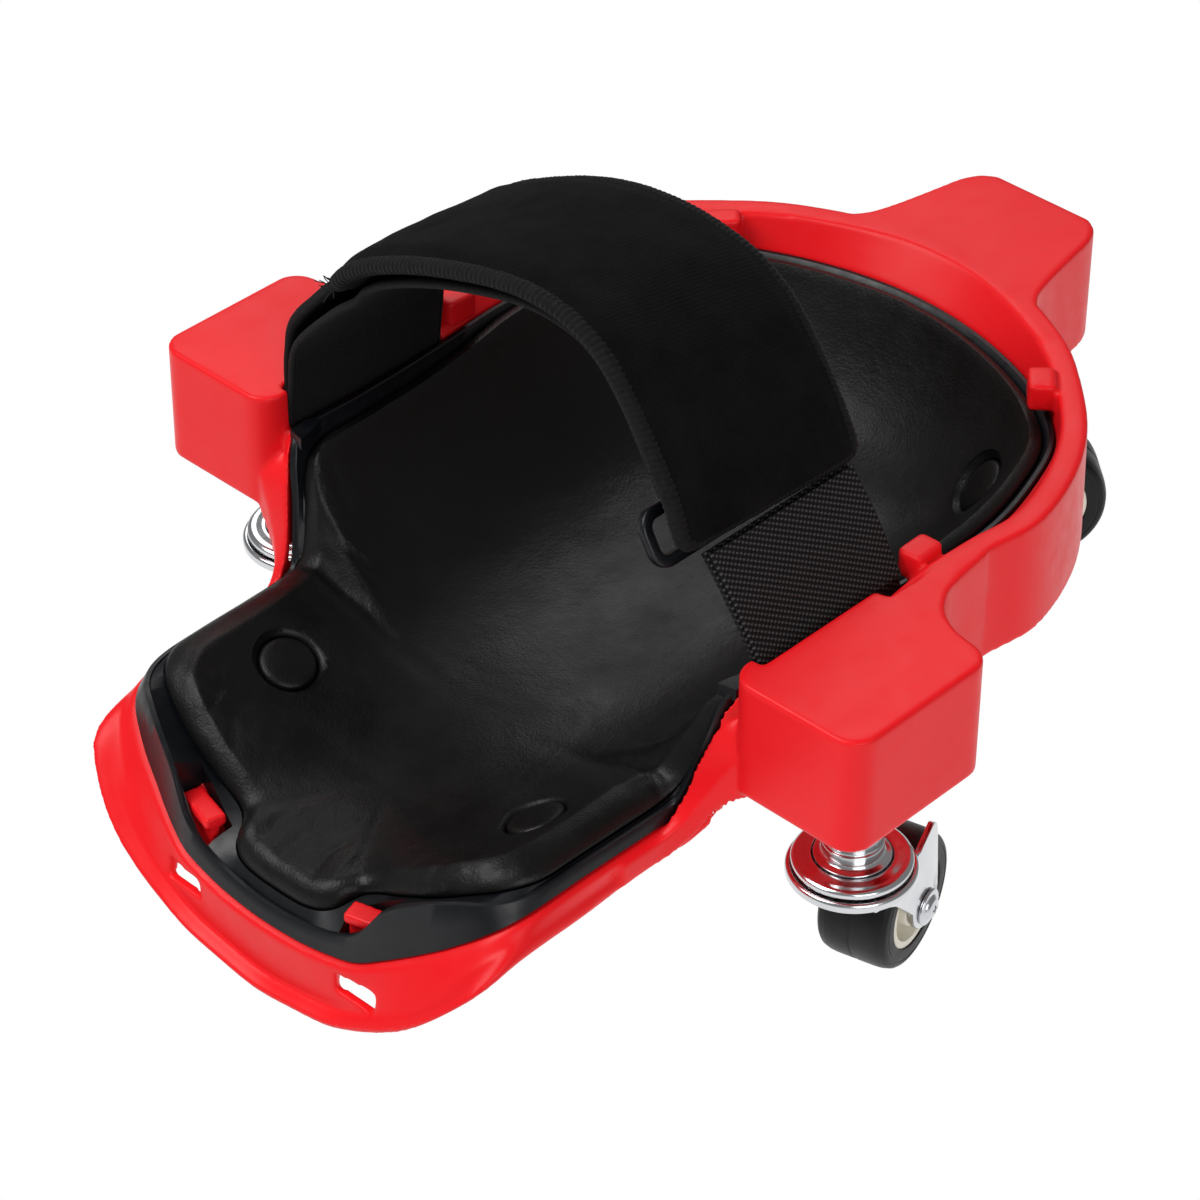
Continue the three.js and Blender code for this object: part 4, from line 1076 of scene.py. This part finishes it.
LIN_TAIL = np.array([[69, 73], [82.6, 58.4], [87, 50], [88.2, 40], [89.8, 26], [90.2, 12.6]])
lin_near = np.vstack([under(PAD_NEAR, STRAP_T + 0.5)[1:], LIN_TAIL])
lin_far = np.vstack([under(PAD_FAR, STRAP_T + 0.5)[1:], LIN_TAIL])
lining, ln_mid, lf_mid = band("strap_lining_band", lin_near, lin_far, WX0 - 1, WX1, 2.0, LINING, cols=20, sub=7, edge_r=0.8, ripple=0.35, seed=5.0)
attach(lining, PLAT)
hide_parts("strap_lining")
for tag, path in (("near", ln_mid), ("far", lf_mid)):
    p = resample(path, 0.5)
    v, f = tube_mesh(p, lambda s, ph: 1.15 + 0.16 * abs(math.sin(math.pi * s / 1.3 + ph * 0.5)), seg=10)
    b = fix_normals(mesh_obj(f"lining_bound_edge_{tag}", v, f, THREAD))
    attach(b, PLAT)

ELA = np.array([[-90.2, 12.6], [-90, 26], [-88.2, 33], [-82.8, 42], [-76.4, 51], [-69, 60.2]])
web, wn_mid, wf_mid = band("elastic_web_band", ELA, ELA, WX0, WX1, 2.0, WEB, cols=22, sub=12, edge_r=0.7, ripple=0.25, seed=8.0)
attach(web, PLAT)
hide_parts("elastic_web")
# the end of the webbing is folded back over itself and stitched down; the turned-back end is drawn as a second, thinner
# band laid on it, without the stitches
fold_line = under(ELA[::-1], 0)[::-1][2:]
FOLD = np.array([[-88.9, 33.6], [-85.3, 39.4], [-80.2, 47.6], [-74.5, 55.2], [-70.4, 60.4]])
fold, fn_mid, ff_mid = band("elastic_web_fold", FOLD - np.array([0.85, -0.35]), FOLD - np.array([0.85, -0.35]), WX0 + 0.3, WX1 - 0.3, 1.3, WEB, cols=22, sub=12, edge_r=0.6, ripple=0.2, seed=11.0)
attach(fold, PLAT)

FLAP = np.array([[69.6, 82.6], [78.6, 72.8], [88.4, 60.4], [91.2, 49], [91.8, 35.2]])
flap, gn_mid, gf_mid = band("hook_flap_layer", FLAP, FLAP, WX0 - 0.8, WX1 + 0.8, 2.8, HOOK, cols=20, sub=10, edge_r=0.9, ripple=0.3, seed=13.0)
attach(flap, PLAT)
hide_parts("hook_flap")

# a few frayed threads at the tail-side corner of the fold
rng = np.random.default_rng(7)
tv, tf = [], []
corner = np.array(near_mid[-1])
for k in range(16):
    p0 = corner + np.array([rng.uniform(-1.5, 1.0), rng.uniform(-2.5, 1.5), rng.uniform(-1.0, 1.0)])
    dr = np.array([rng.uniform(-1.0, -0.1), rng.uniform(-0.3, 1.0), rng.uniform(-0.3, 0.9)])
    dr /= np.linalg.norm(dr)
    L = rng.uniform(2.2, 6.0)
    side = np.cross(dr, [0, 0, 1]) * rng.uniform(-0.5, 0.5)
    path = [p0 + dr * L * t + side * L * t * t for t in np.linspace(0, 1, 7)]
    v, f = tube_mesh(np.array(path), lambda s, ph: 0.14, seg=6)
    base = len(tv)
    tv += list(v)
    tf += [tuple(q + base for q in g) for g in f]
fray = fix_normals(mesh_obj("strap_frayed_threads", tv, tf, FRAY))
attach(fray, PLAT)

# rectangular ring: a rounded bar bent round a rounded rectangle
def ring_piece():
    tilt = math.atan2(15.5, 9)
    c, s = math.cos(tilt), math.sin(tilt)
    path = np.array([(x, y, 0.0) for x, y in rounded_rect(-34.55, 34.55, -6.8, 6.8, 4.2, 8)])
    path = resample(np.vstack([path, path[:1]]), 1.0)[:-1]
    n = len(path)
    d = np.roll(path, -1, 0) - np.roll(path, 1, 0)
    d /= np.linalg.norm(d, axis=1)[:, None]
    sec = []
    for k in range(24):                        # superellipse bar section, 3.7 wide and 3 high
        a = 2 * math.pi * k / 24
        ca, sa = math.cos(a), math.sin(a)
        sec.append((1.8 * math.copysign(abs(ca) ** 0.55, ca), 1.48 * math.copysign(abs(sa) ** 0.55, sa)))
    v = []
    for i in range(n):
        o = np.array([d[i][1], -d[i][0], 0])
        for a, b in sec:
            q = path[i] + o * a + np.array([0, 0, b])
            v.append((q[0] + 36.2, q[1] * c - q[2] * s - 56.6, q[1] * s + q[2] * c + 61.2))
    return fix_normals(mesh_obj("strap_ring_bar", v, grid_faces(n, 24, close_u=True, close_v=True), BLACK))


rg = ring_piece()
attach(rg, PLAT)
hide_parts("strap_ring")

# ------------------------------------------------------------------- castors
RACE_Z, TRAIL, AXLE_DZ = -30.9, 20.5, -59.3 + 30.9
CROWN_R, RACE_R, NECK_R, STEM_R = 18.3, 16.8, 8.5, 4.0
W2, WR = 10.8, 20.5
TOP = 30.9


def castor(tag, cx, cy, deg):
    body_s, body_w = f"castor_{tag}_swivel", f"castor_{tag}_wheel"
    th = math.radians(deg)
    ROT = np.array([[math.cos(th), -math.sin(th), 0], [math.sin(th), math.cos(th), 0], [0, 0, 1]])
    base = np.array([cx, cy, RACE_Z])

    def put(v, turn=True):
        v = np.asarray(v, float)
        return (v @ ROT.T if turn else v) + base

    def turned(name, profile, seg, material, r=0.3, turn=True, angle=35, axle=False, skip=()):
        v, f = lathe_mesh(fillet(profile, r, 3, skip), seg)
        if axle:
            v = np.stack([v[:, 0] + TRAIL, v[:, 2], -v[:, 1] + AXLE_DZ], 1)
        return fix_normals(mesh_obj(name, put(v, turn), f, material, angle=angle))

    # fixed: stem and upper race
    stem = turned(f"castor_{tag}_stem_turned", [(0, -9.4), (7.6, -9.2), (8, -8.6), (8, -7.5), (5, -7.3), (5, -0.6), (10.8, -0.6), (10.8, 0.9), (NECK_R + 0.6, 1.5), (NECK_R, 2.2),
                  (NECK_R, 5.2), (NECK_R - 0.7, 5.6), (NECK_R - 0.7, 6.2), (NECK_R, 6.6), (NECK_R, TOP - 0.5), (STEM_R, TOP - 0.5), (STEM_R, TOP + 27), (0, TOP + 28)], 64, ZINC, 0.25, turn=False)
    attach(stem, PLAT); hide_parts(f"castor_{tag}_stem")
    race = turned(f"castor_{tag}_race_pressed", [(11.2, -0.5), (11.2, 0.5), (12.2, 0.62), (14.2, 0.15), (RACE_R - 1.0, 0.1), (RACE_R, -0.7), (RACE_R, -2.3),
                  (RACE_R - 1.1, -2.3), (RACE_R - 1.3, -1.2), (13.9, -0.9), (12.0, -0.45)], 80, ZINC, 0.4, turn=False)
    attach(race, PLAT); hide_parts(f"castor_{tag}_race_cup")
    # balls
    bv, bf = [], []
    nb = 20
    for k in range(nb):
        a = 2 * math.pi * k / nb
        cxx, cyy = 12.75 * math.cos(a), 12.75 * math.sin(a)
        v, f = lathe_mesh([(1.55 * math.sin(t), -1.55 * math.cos(t)) if 0 < t < math.pi else (0, -1.55 * math.cos(t)) for t in np.linspace(0, math.pi, 9)], 12)
        b0 = len(bv)
        bv += [(x + cxx, y + cyy, z - 3.1) for x, y, z in v]
        bf += [tuple(q + b0 for q in g) for g in f]
    balls = fix_normals(mesh_obj(f"castor_{tag}_ball_set", put(bv), bf, BOLT))
    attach(balls, body_s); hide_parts(f"castor_{tag}_ball_ring")
    # fork: crown pressing and two bent legs
    v, f = lathe_mesh(fillet([(5.6, -5.2), (15.0, -5.2), (16.6, -3.0), (CROWN_R - 0.6, -2.95), (CROWN_R, -3.7), (CROWN_R, -5.6), (CROWN_R - 1.2, -6.7), (CROWN_R - 2.4, -6.9), (5.6, -6.9)], 0.45, 3), 96)
    fork = fix_normals(mesh_obj(f"castor_{tag}_fork_pressed", put(v), f, ZINC))
    yi = W2 + 0.8
    yo = yi + 2
    ax, az = TRAIL, AXLE_DZ
    arc = [(ax + 6.8 * math.cos(a), az + 6.8 * math.sin(a)) for a in np.linspace(math.pi * 1.02, math.pi * 1.98, 16)]
    legs = []
    outline = [(-12, -6.5), (-8.5, -8.0), (-6, -9.5), (-2.5, -11.6), (1, -14), (6.5, -19.6), (ax - 8, az + 2.5)] + arc + \
              [(ax + 6.9, -25), (ax + 6.6, -22), (ax + 6.1, -16.5), (ax + 5.6, -12), (ax + 5.1, -7), (ax + 4.6, -3), (ax + 3.6, -0.9), (ax + 1.8, 0.3), (15.9, -4.0), (15.0, -4.7), (13.6, -4.7), (12.6, -5.0), (11.6, -5.4), (-11.4, -5.4)]
    for s in (1, -1):
        y0, y1 = (yi, yo) if s > 0 else (-yo, -yi)
        n = len(outline)
        v = [(x, y0, z) for x, z in outline] + [(x, y1, z) for x, z in outline]
        fcs = [tuple(range(n)), tuple(range(n, 2 * n))[::-1]] + [(i, n + i, n + (i + 1) % n, (i + 1) % n) for i in range(n)]
        leg = fix_normals(mesh_obj("leg", put(v), fcs, None, smooth=False))
        bv_ = leg.modifiers.new("bev", "BEVEL")
        bv_.width = 0.00045
        bv_.segments = 2
        bv_.limit_method = "ANGLE"
        bv_.angle_limit = math.radians(50)
        bake(leg)
        legs.append(leg)
    boolean(fork, legs, "UNION")
    v, f = lathe_mesh([(0, -30), (2.8, -30), (2.8, 30), (0, 30)], 32)
    v = np.stack([v[:, 0] + ax, v[:, 2], -v[:, 1] + az], 1)
    boolean(fork, [fix_normals(mesh_obj("bore", put(v), f, None, smooth=False))], "DIFFERENCE")
    mark_sharp(fork.data, 32)
    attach(fork, body_s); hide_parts(f"castor_{tag}_fork")
    # bolt with its cross recess, washer face, and the nut
    bolt = turned(f"castor_{tag}_axle_bolt_turned", [(0, -yo - 2.75), (1.6, -yo - 2.7), (2.9, -yo - 2.35), (3.7, -yo - 1.7), (3.9, -yo - 1.25), (5.3, -yo - 1.15), (5.5, -yo - 0.7), (5.4, -yo - 0.15), (2.4, -yo - 0.15), (2.4, yo + 3.4), (2.0, yo + 3.8), (0, yo + 3.8)],
                  48, BOLT, 0.2, axle=True)
    cuts = []
    for k in range(2):
        w_, l_ = 0.42, 1.9
        hx, hz = (l_, w_) if k == 0 else (w_, l_)
        vv = []
        for y, sc in ((-yo - 4.0, 1.0), (-yo - 1.5, 0.55)):
            for x, z in ((-hx, -hz), (hx, -hz), (hx, hz), (-hx, hz)):
                vv.append((ax + x * sc, y, az + z * sc))
        cuts.append(fix_normals(mesh_obj("x", put(vv), [(0, 1, 2, 3), (7, 6, 5, 4), (0, 4, 5, 1), (1, 5, 6, 2), (2, 6, 7, 3), (3, 7, 4, 0)], None, smooth=False)))
    boolean(bolt, cuts, "DIFFERENCE")
    mark_sharp(bolt.data, 32)
    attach(bolt, body_s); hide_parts(f"castor_{tag}_axle_bolt")
    # hexagon nut with chamfered corners
    nv = []
    for y, rr in ((yo + 0.35, 4.1), (yo + 0.7, 4.6), (yo + 2.75, 4.6), (yo + 3.15, 4.1)):
        for k in range(6):
            a = math.pi / 6 + math.pi / 3 * k
            nv.append((ax + rr * math.cos(a), y, az + rr * math.sin(a)))
    nf = grid_faces(4, 6, close_v=True) + [tuple(range(6))[::-1], tuple(range(18, 24))]
    nut = fix_normals(mesh_obj(f"castor_{tag}_axle_nut_hex", put(nv), nf, BOLT, smooth=False))
    v, f = lathe_mesh([(0, -40), (2.8, -40), (2.8, 40), (0, 40)], 24)
    v = np.stack([v[:, 0] + ax, v[:, 2], -v[:, 1] + az], 1)
    boolean(nut, [fix_normals(mesh_obj("nb", put(v), f, None, smooth=False))], "DIFFERENCE")
    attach(nut, body_s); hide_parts(f"castor_{tag}_axle_nut")
    # wheel
    h1, h2 = W2 - 0.4, W2 - 6.5
    hub = turned(f"castor_{tag}_hub_moulded", [(4.5, -h1 - 0.3), (6.9, -h1 - 0.3), (7.2, -h2 - 1.0), (7.6, -h2), (10.8, -h2), (11.2, -h2 - 1.0), (11.5, -h1), (13.75, -h1), (13.75, h1), (11.5, h1), (11.2, h2 + 1.0), (10.8, h2),
                  (7.6, h2), (7.2, h2 + 1.0), (6.9, h1 + 0.3), (4.5, h1 + 0.3)], 64, HUB, 0.4, axle=True)
    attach(hub, body_w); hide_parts(f"castor_{tag}_hub")
    tyre = turned(f"castor_{tag}_tyre_moulded", [(13.8, -W2 + 0.1), (14.4, -W2), (16.9, -W2), (17.3, -W2 + 0.25), (17.7, -W2), (18.9, -W2 + 0.35), (19.8, -W2 + 1.3), (WR - 0.15, -W2 + 3.2), (WR, -W2 + 5.0),
                  (WR, -0.5), (WR - 0.28, -0.3), (WR - 0.28, 0.3), (WR, 0.5), (WR, W2 - 5.0), (WR - 0.15, W2 - 3.2), (19.8, W2 - 1.3), (18.9, W2 - 0.35), (17.7, W2), (17.3, W2 - 0.25), (16.9, W2), (14.4, W2), (13.8, W2 - 0.1)],
                  96, TYRE, 0.25, axle=True)
    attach(tyre, body_w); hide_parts(f"castor_{tag}_tyre")


castor("right", 28.3, -108, 13.6)
castor("left", 28.3, 108, -13.6)
castor("front", 211, 0, -41)

# carried-over CAD nodes
for n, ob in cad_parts.items():
    if ob.hide_render:
        continue
    mt_ = BLACK if n.endswith("stem_socket") else ZINC
    ob.data.materials.clear()
    ob.data.materials.append(mt_)

# --------------------------------------------------------------- light
world = bpy.data.worlds.new("studio")
bpy.context.scene.world = world
world.use_nodes = True
bg = world.node_tree.nodes["Background"]
bg.inputs["Color"].default_value = (1, 1, 1, 1)
wt = world.node_tree
w_tc = wt.nodes.new("ShaderNodeTexCoord")
w_sx = wt.nodes.new("ShaderNodeSeparateXYZ")
w_mr = wt.nodes.new("ShaderNodeMapRange")
w_mr.inputs["From Min"].default_value = -0.36
w_mr.inputs["From Max"].default_value = 0.02
w_mr.inputs["To Min"].default_value = 1.0
w_mr.inputs["To Max"].default_value = 0.24
wt.links.new(w_tc.outputs["Generated"], w_sx.inputs[0])
wt.links.new(w_sx.outputs[2], w_mr.inputs["Value"])
wt.links.new(w_mr.outputs["Result"], bg.inputs["Strength"])


def area(name, loc, target, size, power, size_y=None):
    d = bpy.data.lights.new(name, "AREA")
    d.shape = "RECTANGLE"
    d.size, d.size_y = size, size_y or size
    d.energy = power
    o = bpy.data.objects.new(name, d)
    bpy.context.scene.collection.objects.link(o)
    o.location = loc
    o.rotation_mode = "QUATERNION"
    o.rotation_quaternion = (Vector(loc) - Vector(target)).to_track_quat("Z", "Y")
    return o


area("key", (-0.9, 0.5, 1.45), (0, 0, 0.05), 1.1, 24)
area("side", (-0.7, -1.5, 0.7), (0, 0, 0.05), 1.0, 11)
area("back", (0.9, 1.0, 1.3), (0, 0, 0.08), 0.9, 6)
bpy.context.scene.view_settings.view_transform = "Standard"
bpy.context.scene.view_settings.look = "None"
